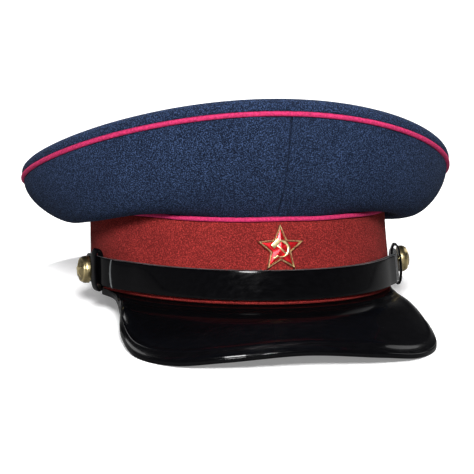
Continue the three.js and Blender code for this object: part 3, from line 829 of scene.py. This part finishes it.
class CAP_OT_sweatband(bpy.types.Operator):
    """Make the leather sweatband inside the band, its lower edge showing below the cloth"""

    bl_idname = "cap.sweatband"
    bl_label = "Sweatband"

    def execute(self, context):
        hide = grained_leather("dyed_leather_sweatband", leather().sweat, 0.55)
        t = ring_angles()
        outer = -cloth().band_wall - GAP
        radius = SWEAT_WALL / 2
        turn = np.linspace(-np.pi / 2, 0, 5)
        edge = SWEAT_LOW + radius * (1 + np.sin(turn))
        wall = np.linspace(SWEAT_LOW + SWEAT_WALL, SWEAT_HIGH, 12)
        z = np.concatenate([edge, wall])[None, :]
        below = np.clip(SWEAT_LOW + radius - z, 0, radius) / radius
        out = outer - radius + radius * np.sqrt(np.clip(1 - below ** 2, 0, 1))
        face = band_point(t, z, out)
        back = band_point(t, z, 2 * (outer - radius) - out)
        grid = sandwich(face, back)
        surface("sweatband_leather", [grid], [hide], "sweat_leather", ["sweatband"])
        return {"FINISHED"}


# Peak

# A row for each ruling of the peak: the angle at the band, then outward, forward and downward
RULINGS = np.array([
    (0, 0, 1, 0.73), (28, 0.03, 1.17, 0.87), (43, 0.16, 1.25, 1), (52, 0.3, 1.09, 0.94),
    (59, 0.25, 0.76, 0.62), (64, 0.08, 0.3, 0.27), (68, 0.015, 0.03, 0.06),
    (78, 0.008, 0.004, 0.03),
])
RULING_STEPS = 300
CORNER_STEPS = 6
CORNER_RADIUS = 0.9 * MM
PEAK_ARCH = 2.6 * MM

# Ridges on the peak's upper face in millimetres: height, distance of the crest, and width. The
# crease and the swell are measured from the band and the bead from the rim.
CREASE = (0.28, 6.2, 1.9)
SWELL = (1.1, 22, 10)
BEAD = (0.42, 7, 2.4)

# Lengths of ruling at which the ridges start and are full
RIDGES_FROM, RIDGES_FULL = 6 * MM, 24 * MM


def through(points, count):
    """Smooth curve through points: a centripetal Catmull-Rom spline with mirrored ends."""
    knots = np.concatenate([2 * points[:1] - points[1:2], points, 2 * points[-1:] - points[-2:-1]])
    place_on = np.linspace(0, len(points) - 1, count)
    index = np.minimum(place_on.astype(int), len(points) - 2)
    w = (place_on - index)[:, None]
    p0, p1, p2, p3 = (knots[index + k] for k in range(4))
    d0, d1, d2 = (
        np.sqrt(np.linalg.norm(b - a, axis=-1, keepdims=True))
        for a, b in ((p0, p1), (p1, p2), (p2, p3))
    )
    v1 = d1 * ((p1 - p0) / d0 - (p2 - p0) / (d0 + d1) + (p2 - p1) / d1)
    v2 = d1 * ((p2 - p1) / d1 - (p3 - p1) / (d1 + d2) + (p3 - p2) / d2)
    return (
        p1 + v1 * w + (3 * (p2 - p1) - 2 * v1 - v2) * w ** 2 + (2 * (p1 - p2) + v1 + v2) * w ** 3
    )


def ridge(sizes, distance):
    """Ridge of a height, place and width in millimetres: a bell over the distance."""
    height, crest, width = np.array(sizes) * MM
    return height * bump_at(distance, crest, width)


def peak_grid():
    """Peak's two sides: straight rulings from the band to a smooth rim, plus an arch of
    4 s (1 - s), ridges along the upper face, and quarter circles at the edge."""
    size, depth = leather().peak_length, leather().peak_thickness
    mirrored = RULINGS[:0:-1] * (-1, -1, 1, 1)
    rows = np.concatenate([mirrored, RULINGS])
    seam = band_point(np.radians(rows[:, 0]), -GAP, 0.0)
    reach = np.stack([rows[:, 1] * size, -rows[:, 2] * size, -rows[:, 3] * leather().peak_drop], -1)
    rim = through(seam + reach, RULING_STEPS)[:, None]
    t = through(np.radians(rows[:, :1]), RULING_STEPS)
    seam = band_point(t, -GAP, 0.0)
    span = np.linalg.norm(rim - seam, axis=-1)
    # The small step outward gives the shortest rulings a direction too
    ahead = unit((rim - seam) * (1, 1, 0) + outward(foot_ring(), t) * 1e-5)
    corner = np.minimum(CORNER_RADIUS, 0.35 * span)
    near, far = np.linspace(0, 0.2, 18)[:-1], np.linspace(0.85, 1, 22)
    steps = np.concatenate([near, np.linspace(0.2, 0.85, 30)[:-1], far])
    share = steps[None, :] * (1 - corner / span)
    along = share * span
    ridges = ridge(CREASE, along) + ridge(SWELL, along) + ridge(BEAD, span - along)
    arch = PEAK_ARCH * 4 * share * (1 - share) * np.minimum(span / size, 1)
    flat = seam + (rim - seam) * share[..., None]
    upper = flat + up(arch + smooth_step(RIDGES_FROM, RIDGES_FULL, span) * ridges)
    under = flat + up(arch - depth)
    angle = np.linspace(np.pi / 2, 0, CORNER_STEPS + 1)[None, 1:]
    arc = rim + ahead * (corner * (np.cos(angle) - 1))[..., None]
    top_arc = arc + up(corner * (np.sin(angle) - 1))
    low_arc = arc + up(-depth + corner * (1 - np.sin(angle)))
    tab = band_point(t, -GAP, GAP - cloth().band_wall)
    upper = np.concatenate([tab, upper, top_arc], axis=1)
    under = np.concatenate([tab - up(depth + 0 * t), under, low_arc], axis=1)
    return upper, under


class CAP_OT_peak(bpy.types.Operator):
    """Make the patent leather peak"""

    bl_idname = "cap.peak"
    bl_label = "Peak"

    def execute(self, context):
        patent = made_once("poured_patent_leather", patent_leather, leather().patent)
        lining = grained_leather("black_leather_underside", leather().sweat, 0.45)
        upper, under = peak_grid()
        grid = closed_ends(sandwich(upper, under))
        kinds = np.zeros(grid.shape[1] - 1)
        kinds[upper.shape[1] + CORNER_STEPS :] = 1
        surface("peak_leather", [grid], [patent, lining], "patent_leather", ["peak"], kinds)
        return {"FINISHED"}


# Chin strap and keepers

# Angles in degrees at which the over layer ends, and those between which the strap leaves the
# band, from its clearance in front to that at the buttons
OVER_ENDS = (-64.5, 61.5)
LEAVE_FROM, LEAVE_TO = 54, 71
NEAR_CLEARANCE, FAR_CLEARANCE = 0.5 * MM, 4.2 * MM

# Bow of the over layer's left end: degrees that its middle stands out, and width of that bow
END_BOW, END_BOW_WIDTH = -1.0, 0.8

# Strap's section: how much its face is full, the power of sine and cosine that squares it, the
# points round it, and the cosine under which a face belongs to a cut edge, painted light grey as
# the edge's highlight
STRAP_FULLNESS = 0.1 * MM
STRAP_POWER = 0.28
STRAP_TURN = np.linspace(-np.pi / 2, 3 * np.pi / 2, 49)
EDGE_HIGHLIGHT_COSINE = 0.32

# How far the strap's rounded tips reach past the buttons' middles
TIP_REACH = 8.6 * MM

# Keepers: half the thickness of the leather, half the loop's depth and height, and the powers
# that square the loop and its section
KEEPER_THIN = 0.7 * MM
KEEPER_DEPTH, KEEPER_HEIGHT = 3.4 * MM, 12.4 * MM
LOOP_POWER = 2 / 2.4
ALONG_POWER, INSET_POWER = 0.45, 0.6


def strap_clearance(angle):
    """Gap between band and strap, which grows by a smooth step towards the buttons."""
    step = smooth_step(LEAVE_FROM, LEAVE_TO, np.abs(angle))
    return NEAR_CLEARANCE + (FAR_CLEARANCE - NEAR_CLEARANCE) * step


def strap_grid(angle, half_width, depth, bow=0):
    """Flat strap along the band: at each angle in degrees, a section whose height and depth are
    the sine and cosine of a turn, each to the same low power, and whose face is a little full.

    Half_width may narrow along the strap. Bow is how many degrees the middle of a section runs
    ahead of its edges.
    """
    turn = STRAP_TURN[None, :]
    thin, wide = leather().strap_thickness / 2, leather().strap_width / 2
    shape_z = signed_power(np.sin(turn), STRAP_POWER)
    shape_out = signed_power(np.cos(turn), STRAP_POWER)
    z = leather().strap_above + wide + half_width * shape_z
    full = STRAP_FULLNESS * (1 - shape_z ** 2) * (shape_out > 0) * (half_width / wide)
    out = strap_clearance(angle) + depth + thin + thin * shape_out + full
    angle = angle + bow * (1 - shape_z ** 2)
    return band_point(np.radians(angle), z, out)


def edge_highlight_faces():
    """Material number of each face across the strap: 1 on the cut edges, whose light grey is their
    leather and a painted highlight, 0 elsewhere.
    """
    middle = (STRAP_TURN[1:] + STRAP_TURN[:-1]) / 2
    return (np.abs(np.cos(middle)) < EDGE_HIGHLIGHT_COSINE).astype(int)


def degrees_per_metre():
    """Angle for a metre along the band near the buttons, measured over one degree there."""
    a, b = (on_ring(foot_ring(), np.radians(d), 0.0) for d in (82, 83))
    return 1 / float(np.linalg.norm(b - a))


class CAP_OT_strap(bpy.types.Operator):
    """Make the two layers of the chin strap"""

    bl_idname = "cap.strap"
    bl_label = "Chin strap"

    def execute(self, context):
        patent = made_once("poured_patent_leather", patent_leather, leather().patent)
        # Cut edges in light grey: the raw leather, and a painted highlight along the strap's edges
        edge = grained_leather("cut_leather_edge_painted_highlight", leather().edge, 0.4)
        button = np.degrees(metal().button_at)
        wide = leather().strap_width / 2
        tip = TIP_REACH * degrees_per_metre()
        share = np.sin(np.linspace(0, np.pi / 2, 16))[1:]
        # The last section keeps a little width, so that its faces have a size
        share[-1] = 0.9985
        straight = np.linspace(-button, button, 240)
        angle = np.concatenate([-button - tip * share[::-1], straight, button + tip * share])
        narrow = np.sqrt(1 - share ** 2)
        narrow = np.concatenate([narrow[::-1], 0 * straight + 1, narrow])
        grid = closed_ends(strap_grid(angle[:, None], wide * narrow[:, None], 0))
        looks = ([patent, edge], "patent_leather")
        surface("strap_under_leather", [grid], *looks, ["strap_under"], edge_highlight_faces())
        angle = np.linspace(*OVER_ENDS, 250)[:, None]
        bow = END_BOW * bump_at(angle, OVER_ENDS[0], END_BOW_WIDTH)
        depth = leather().strap_thickness + GAP
        grid = closed_ends(strap_grid(angle, wide + 0 * angle, depth, bow))
        kinds = np.tile(edge_highlight_faces(), (len(grid) - 1, 1))
        # Both ends of the over layer are cut edges too, with the same painted highlight
        kinds[:2] = kinds[-2:] = 1
        surface("strap_over_leather", [grid], *looks, ["strap_over"], kinds)
        return {"FINISHED"}


class CAP_OT_keepers(bpy.types.Operator):
    """Make the oval leather loops that hold the two layers of the strap together"""

    bl_idname = "cap.keepers"
    bl_label = "Keepers"

    def execute(self, context):
        patent = made_once("poured_patent_leather", patent_leather, leather().patent)
        centre = FAR_CLEARANCE + leather().strap_thickness / 2
        middle = leather().strap_above + leather().strap_width / 2
        half_angle = leather().keeper_width / 2 * degrees_per_metre()
        turn = np.linspace(0, 2 * np.pi, 121)[:, None]
        section = np.linspace(0, 2 * np.pi, 25)[None, :]
        along = half_angle * signed_power(np.cos(section), ALONG_POWER)
        inset = KEEPER_THIN * (1 - signed_power(np.sin(section), INSET_POWER))
        out = centre + (KEEPER_DEPTH - inset) * signed_power(np.cos(turn), LOOP_POWER)
        z = middle + (KEEPER_HEIGHT - inset) * signed_power(np.sin(turn), LOOP_POWER)
        for name, side in (("left", -1), ("right", 1)):
            angle = side * (np.degrees(leather().keeper_at) + along)
            grid = band_point(np.radians(angle), z, out)
            node = f"keeper_{name}"
            surface(f"{node}_leather", [grid], [patent], "patent_leather", [node])
        return {"FINISHED"}


# Buttons

# Buttons: height of the edge above the back, how far the right one sits above the strap's
# middle and the left one below it, and how far the left and the right one stand off the strap
BUTTON_RIM = 2.2 * MM
BUTTON_STRAY = 1.3 * MM
STAND_OFF = {-1: 0, 1: 2 * MM}

# Struck relief: its height, the star's radius, its notches as a share of that, the width of its
# slopes, and the radius and width of the ring
RELIEF = 0.5 * MM
STRUCK_STAR, STRUCK_NOTCH, STRUCK_SLOPE = 5.6 * MM, 0.42, 0.7 * MM
RING_RADIUS, RING_WIDTH = 6.9 * MM, 0.35 * MM

# Button's back from its edge to its shank: shares of its radius, and heights in millimetres as
# far as the shank, which ends this much further in, and by the stand-off
BACK_SHARES = (1, 1, 0.95, 0.24, 0.2125, 0.2125, 0)
BACK_HEIGHTS = (1.3, 0.4, 0, 0, -0.2)
SHANK_END = 5.8 * MM


def star_edge(angle, notch):
    """Distance from a five-pointed star's middle to its edge, for tips at distance 1 and a notch
    at the given one: the polar form of the straight line between a tip and a notch."""
    part = np.abs((angle - np.pi / 2) % (2 * np.pi / 5))
    part = np.minimum(part, 2 * np.pi / 5 - part)
    wedge = np.pi / 5
    return notch * np.sin(wedge) / (
        np.sin(part) * (1 - notch * np.cos(wedge)) + np.cos(part) * notch * np.sin(wedge)
    )


def button_basis(side):
    """Place and axes of a side button's back: across, up and out of the band's face."""
    t = side * metal().button_at
    height = leather().strap_above + leather().strap_width / 2 + side * BUTTON_STRAY
    rise = unit(band_point(t, height + MM, 0.0) - band_point(t, height - MM, 0.0))
    across = unit(np.cross(rise, outward(foot_ring(), t)))
    seat = FAR_CLEARANCE + leather().strap_thickness + GAP + STAND_OFF[side]
    return band_point(t, height, seat), across, rise, np.cross(across, rise)


def button_grid(side):
    """Domed disc of revolution: rim + dome root(1 - r squared), plus a flat-topped star with
    sloping sides and a ring in relief, then the back and the shank."""
    radius, dome = metal().button_radius, metal().button_dome
    angle = np.linspace(0, 2 * np.pi, 161)[:, None]
    r = np.linspace(0, 1, 70)[None, :] * radius
    star = STRUCK_STAR * star_edge(angle, STRUCK_NOTCH)
    facet = np.clip(star - r, 0, STRUCK_SLOPE) / STRUCK_SLOPE
    relief = np.maximum(facet * 0.85, bump_at(r, RING_RADIUS, RING_WIDTH))
    z = BUTTON_RIM + dome * np.sqrt(np.clip(1 - (r / radius) ** 2, 0, 1)) + RELIEF * relief
    root = -(SHANK_END + STAND_OFF[side]) / MM
    back_r = np.array(BACK_SHARES)[None, :] * radius + 0 * angle
    back_z = np.array([*BACK_HEIGHTS, root, root])[None, :] * MM + 0 * angle
    r = np.concatenate([r + 0 * angle, back_r], axis=1)
    z = np.concatenate([z, back_z], axis=1)
    # Brass colour by relief: painted shade low down, painted highlight on the star and ring
    relief = np.concatenate([relief * 0.8 + 0.2, 0.5 + 0 * back_r], axis=1)
    seat, across, rise, out = button_basis(side)
    points = (
        seat + across * (r * np.cos(angle))[..., None] + rise * (r * np.sin(angle))[..., None]
        + out * z[..., None]
    )
    return points, relief


class CAP_OT_buttons(bpy.types.Operator):
    """Make the two side buttons, with a star struck in their domes"""

    bl_idname = "cap.buttons"
    bl_label = "Side buttons"

    def execute(self, context):
        brass = made_once("struck_brass", stamped_brass, metal().brass)
        for name, side in (("left", -1), ("right", 1)):
            points, relief = button_grid(side)
            node = f"button_{name}"
            surface(f"{node}_brass", [points], [brass], "brass", [node], relief=relief)
        return {"FINISHED"}


# Badge

# Star: its notches as a share of its tips' distance, the steps along each side, and about the
# width of the metal seen round the enamel
BADGE_NOTCH = 0.45
EDGE_STEPS = 8
METAL_WIDTH = 1.1 * MM

# Metal star's section: heights in millimetres and relief, which sets the brass's painted shade and
# highlight, from the back's middle, over the edge and its rounded rim, to the tray's middle, and
# the rim's shares of the way to the tray
STAR_HEIGHTS = np.array([0, 0, 0.15, 1.5, 1.95, 2.15, 2.15, 1.95, 1.6, 0.9, 0.9]) * MM
STAR_RELIEF = np.array([0.4, 0.4, 0.5, 0.7, 1, 1, 1, 1, 0.6, 0.2, 0.2])
RIM_SHARES = np.array([0.15, 0.4, 0.65, 0.9])

# Enamel's section: shares of its size and heights in millimetres, from its back to its crest
ENAMEL_SHARES = np.array([0, 1, 1, 0.97, 0.93, 0.7, 0.45, 0.2, 0.02, 0])
ENAMEL_HEIGHTS = np.array([0, 0, 0.8, 0.97, 1.02, 1.27, 1.51, 1.75, 1.9, 1.9]) * MM
ENAMEL_BASE = 1.5 * MM

# Emblem: the sickle's radius, the metal's back and thickness, and its bars in sickle radii:
# start, end, width, and thickness as a share
EMBLEM_SIZE = 5.0 * MM
EMBLEM_BASE, EMBLEM_THICKNESS = 3.4 * MM, 0.95 * MM
EMBLEM_BARS = (
    ((-0.42, -0.8), (-0.98, -1.12), 0.24, 1),
    ((-0.62, 0.5), (0.62, -0.68), 0.2, 1),
    ((-1.06, 0.2), (-0.26, 0.94), 0.6, 1.2),
)

# Sickle's blade: degrees at its tip and handle, and its width at the ends and in between
BLADE_ENDS = (118, -118)
BLADE_THIN, BLADE_SWELL = 0.05, 0.34


def badge_place(x, y, z):
    """Points of the badge's own plane, put on the sloping front of the band."""
    slope = np.arctan2(BAND_INSET[0], BAND_HEIGHT[0])
    origin = band_point(0.0, metal().badge_height, 0.0)
    x, y, z = np.broadcast_arrays(x, y, z)
    return origin + np.stack(
        [x, y * np.sin(slope) - z * np.cos(slope), y * np.cos(slope) + z * np.sin(slope)], axis=-1
    )


def star_outline():
    """Points round a star of radius 1, on straight lines between its tips and its notches."""
    k = np.arange(11)
    reach = np.where(k % 2 == 0, 1, BADGE_NOTCH)
    corner = np.stack([reach * np.cos(np.pi / 2 + k * np.pi / 5),
                       reach * np.sin(np.pi / 2 + k * np.pi / 5)], axis=-1)
    share = np.linspace(0, 1, EDGE_STEPS + 1)[:-1, None]
    sides = corner[:-1, None] * (1 - share) + corner[1:, None] * share
    return np.concatenate([sides.reshape(-1, 2), corner[:1]])


def star_grid(scales, heights):
    """Star carried through scales and heights, which keep each side parallel to itself."""
    outline = star_outline()[:, None, :] * np.asarray(scales)[None, :, None]
    return badge_place(outline[..., 0], outline[..., 1], np.asarray(heights)[None, :])


def bar_grid(start, end, width, thickness, base):
    """Rounded bar between two points of the badge's plane: across and up, its section is the
    root of a turn's cosine and sine."""
    ahead = unit(end - start)
    side = np.array([-ahead[1], ahead[0]])
    share = np.array([0, 0.02, 0.98, 1])[:, None]
    swell = np.array([0.8, 1, 1, 0.8])[:, None]
    turn = np.linspace(0, 2 * np.pi, 25)[None, :]
    across = width / 2 * swell * signed_power(np.cos(turn), 0.5)
    z = base + thickness / 2 * (1 + swell * signed_power(np.sin(turn), 0.5))
    middle = start + (end - start) * share
    grid = badge_place(middle[:, :1] + side[0] * across, middle[:, 1:] + side[1] * across, z)
    return closed_ends(grid)


def sickle_grid(radius, base, thickness):
    """Blade along an arc that opens to the left: its width grows from the tip and narrows to the
    handle, and its section is a low oval."""
    angle = np.radians(np.linspace(*BLADE_ENDS, 60))[:, None]
    share = np.linspace(0, 1, 60)[:, None]
    width = radius * (BLADE_THIN + BLADE_SWELL * np.sin(np.pi * share ** 0.75) ** 0.8)
    turn = np.linspace(0, 2 * np.pi, 21)[None, :]
    reach = radius - width / 2 * (1 - np.cos(turn))
    z = base + thickness / 2 * (1 + np.sin(turn))
    grid = badge_place(reach * np.cos(angle), reach * np.sin(angle), z)
    return closed_ends(grid)


class CAP_OT_badge(bpy.types.Operator):
    """Make the star badge: metal star, faceted enamel, and crossed hammer and sickle"""

    bl_idname = "cap.badge"
    bl_label = "Badge"

    def execute(self, context):
        brass = made_once("struck_brass", stamped_brass, metal().brass)
        enamel = fired_enamel("fired_enamel_red", metal().enamel)
        radius = metal().badge_radius
        tip_angle = np.pi / 10 + np.arcsin(BADGE_NOTCH * np.sin(np.pi / 5))
        inner = 1 - METAL_WIDTH / np.sin(tip_angle) / radius
        scales = np.array([0, 0.985, 1, 1, *(1 + (inner - 1) * RIM_SHARES), inner, inner, 0])
        grid = star_grid(scales * radius, STAR_HEIGHTS + GAP)
        relief = np.zeros(grid.shape[:2]) + STAR_RELIEF
        surface("badge_star_brass", [grid], [brass], "brass", ["badge_star"], relief=relief)
        # Three gaps at a tip leave about one between the enamel's sides and the metal's
        face = inner * radius - 3 * GAP
        grid = star_grid(ENAMEL_SHARES * face, ENAMEL_HEIGHTS + ENAMEL_BASE)
        surface("badge_star_enamel", [grid], [enamel], "red_enamel", ["badge_enamel"])
        grids = [sickle_grid(EMBLEM_SIZE, EMBLEM_BASE, EMBLEM_THICKNESS)]
        for start, end, width, share in EMBLEM_BARS:
            ends = np.array([start, end]) * EMBLEM_SIZE
            thickness = share * EMBLEM_THICKNESS
            grids.append(bar_grid(*ends, width * EMBLEM_SIZE, thickness, EMBLEM_BASE))
        # The emblem takes the brass's full painted highlight
        relief = np.ones(sum(g.shape[0] * g.shape[1] for g in grids))
        surface("badge_emblem_brass", grids, [brass], "brass", ["badge_emblem"], relief=relief)
        return {"FINISHED"}


# Stage

# Floor's radius, the point that most lights face, and each light: its name and place, the point
# that it faces, its diameter and its watts
FLOOR_RADIUS = 6
LIT_MIDDLE = (0, 0, 0.07)
LIGHTS = (
    ("key", (-0.42, -1.75, 1.1), LIT_MIDDLE, 0.5, 70),
    ("lamp", (0.14, 0.1, 1.6), (-0.02, -0.13, 0.01), 0.1, 15),
    ("fill", (1.6, 0.6, 1.1), LIT_MIDDLE, 1.0, 7),
    ("back", (-0.6, 2.2, 1.8), LIT_MIDDLE, 1.6, 40),
)


def matte_floor(name):
    """Matt painted board: white to the camera, with a glow that grows from 0.6 to 3 m away, and
    grey to all other rays, so that it throws back little light onto the cap."""
    material = new_material(name, (0.8, 0.8, 0.8))
    place_of = add_node(material, "ShaderNodeTexCoord").outputs["Object"]
    cloud = add_node(
        material, "ShaderNodeTexNoise", [("Vector", place_of)], Scale=3.0, Detail=2.0
    ).outputs["Fac"]
    seen = ramp(material, cloud, [(0.3, opaque("#f7f7f7")), (0.7, opaque("#fafafa"))])
    eye = add_node(material, "ShaderNodeLightPath").outputs["Is Camera Ray"]
    base = add_node(
        material, "ShaderNodeMix", [("Factor", eye), (6, opaque("#909090")), (7, seen)],
        data_type="RGBA",
    )
    far = add_node(material, "ShaderNodeVectorMath", [(0, place_of)], operation="LENGTH")
    haze = add_node(
        material, "ShaderNodeMapRange", [("Value", far.outputs["Value"])],
        From_Min=0.6, From_Max=3.0, To_Min=0.25, To_Max=1.0,
    )
    glow = add_node(
        material, "ShaderNodeMath", [(0, eye), (1, haze.outputs[0])], operation="MULTIPLY"
    )
    shader = add_node(
        material, "ShaderNodeBsdfPrincipled",
        [("Base Color", base.outputs[2]), ("Emission Strength", glow.outputs[0])], Roughness=0.9,
        Specular_IOR_Level=0.1,
    )
    return finish_material(material, shader)


def add_light(name, location, target, size, power):
    """Round area light at a place, facing a target."""
    data = bpy.data.lights.new(name, "AREA")
    data.shape, data.size, data.energy = "DISK", size, power
    light = bpy.data.objects.new(name, data)
    back = unit(np.array(location) - np.array(target))
    right = unit(np.cross((0, 0, 1), back))
    axes = np.stack([right, np.cross(back, right), back], axis=1)
    light.matrix_world = Matrix.LocRotScale(location, Matrix(axes.tolist()).to_quaternion(), None)
    bpy.context.scene.collection.objects.link(light)


# Camera, fitted to the photograph: the place of its axis there, and its focal length, in pixels
CAMERA_AZIMUTH = np.radians(-13.8)
CAMERA_ELEVATION = np.radians(6.14)
CAMERA_ROLL = np.radians(0.71)
CAMERA_DISTANCE = 1.15
CAMERA_TARGET = (0, 0, 0.04)
FOCAL_PIXELS = 1896.31
PHOTO_PIXELS = 474
PHOTO_MIDDLE = (240.46, 213.77)


def add_camera():
    """Camera at the photograph's angle to the cap, in the cap's frame and then leant with it."""
    sin_a, cos_a = np.sin(CAMERA_AZIMUTH), np.cos(CAMERA_AZIMUTH)
    sin_e, cos_e = np.sin(CAMERA_ELEVATION), np.cos(CAMERA_ELEVATION)
    back = np.array([sin_a * cos_e, -cos_a * cos_e, sin_e])
    right = np.array([cos_a, sin_a, 0])
    rise = np.cross(back, right)
    turned = right * np.cos(CAMERA_ROLL) + rise * np.sin(CAMERA_ROLL)
    rise = rise * np.cos(CAMERA_ROLL) - right * np.sin(CAMERA_ROLL)
    eye = place(np.array(CAMERA_TARGET) + back * CAMERA_DISTANCE)
    axes = np.stack([place(v) - place(0 * v) for v in (turned, rise, back)], axis=1)
    data = bpy.data.cameras.new("camera")
    data.sensor_width = 36
    data.lens = FOCAL_PIXELS / PHOTO_PIXELS * data.sensor_width
    data.shift_x = 0.5 - PHOTO_MIDDLE[0] / PHOTO_PIXELS
    data.shift_y = PHOTO_MIDDLE[1] / PHOTO_PIXELS - 0.5
    data.clip_start, data.clip_end = 0.05, 30
    camera = bpy.data.objects.new("camera", data)
    camera.matrix_world = Matrix.LocRotScale(eye, Matrix(axes.tolist()).to_quaternion(), None)
    bpy.context.scene.collection.objects.link(camera)
    bpy.context.scene.camera = camera


def studio_world(name):
    """Sky that is pale at the horizon and darker above, and plain white to the camera itself."""
    world = bpy.data.worlds.new(name)
    world.use_nodes = True
    height = add_node(
        world, "ShaderNodeSeparateXYZ",
        [(0, add_node(world, "ShaderNodeTexCoord").outputs["Generated"])],
    ).outputs["Z"]
    sky = ramp(world, height, [(0, opaque("#e1e1e2")), (0.35, opaque("#59595d"))])
    eye = add_node(world, "ShaderNodeLightPath").outputs["Is Camera Ray"]
    seen = add_node(
        world, "ShaderNodeMix", [("Factor", eye), (6, sky), (7, opaque("#ffffff"))],
        data_type="RGBA",
    )
    power = add_node(world, "ShaderNodeMapRange", [("Value", eye)], To_Min=0.34, To_Max=1.0)
    background = world.node_tree.nodes["Background"]
    world.node_tree.links.new(background.inputs["Color"], seen.outputs[2])
    world.node_tree.links.new(background.inputs["Strength"], power.outputs[0])
    return world


class CAP_OT_stage(bpy.types.Operator):
    """Make the floor, the lights and the camera"""

    bl_idname = "cap.stage"
    bl_label = "Stage"

    def execute(self, context):
        angle = np.linspace(0, 2 * np.pi, 97)[:-1]
        rim = FLOOR_RADIUS * np.stack([np.cos(angle), np.sin(angle), 0 * angle], axis=-1)
        mesh = bpy.data.meshes.new("floor")
        mesh.from_pydata(rim.tolist(), [], [list(range(len(rim)))])
        mesh.materials.append(matte_floor("matt_painted_board"))
        floor = bpy.data.objects.new("floor", mesh)
        context.scene.collection.objects.link(floor)

        context.scene.world = studio_world("studio")
        for light in LIGHTS:
            add_light(*light)
        context.scene.view_settings.view_transform = "Standard"
        add_camera()
        return {"FINISHED"}


# Panel and registration


class CAP_PT_panel(bpy.types.Panel):
    """Buttons that make the cap's pieces, and the sizes and colours they use"""

    bl_idname = "CAP_PT_panel"
    bl_label = "Peaked cap"
    bl_space_type = "VIEW_3D"
    bl_region_type = "UI"
    bl_category = "Peaked cap"

    def draw(self, context):
        for operator in OPERATORS:
            self.layout.operator(operator.bl_idname)
        for group in (cloth(), leather(), metal()):
            box = self.layout.box()
            for key in group.__annotations__:
                box.prop(group, key)


OPERATORS = (
    CAP_OT_stage, CAP_OT_crown, CAP_OT_pipings, CAP_OT_band, CAP_OT_sweatband, CAP_OT_peak,
    CAP_OT_strap, CAP_OT_keepers, CAP_OT_buttons, CAP_OT_badge,
)
GROUPS = {"cap_cloth": CapCloth, "cap_leather": CapLeather, "cap_metal": CapMetal}


def register():
    for kind in (*GROUPS.values(), *OPERATORS, CAP_PT_panel):
        bpy.utils.register_class(kind)
    for name, kind in GROUPS.items():
        setattr(bpy.types.Scene, name, PointerProperty(type=kind))


def unregister():
    for name in GROUPS:
        delattr(bpy.types.Scene, name)
    for kind in reversed((*GROUPS.values(), *OPERATORS, CAP_PT_panel)):
        bpy.utils.unregister_class(kind)


def main():
    register()
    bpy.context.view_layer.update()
    for operator in OPERATORS:
        group, name = operator.bl_idname.split(".")
        getattr(getattr(bpy.ops, group), name)()


if __name__ == "__main__":
    main()
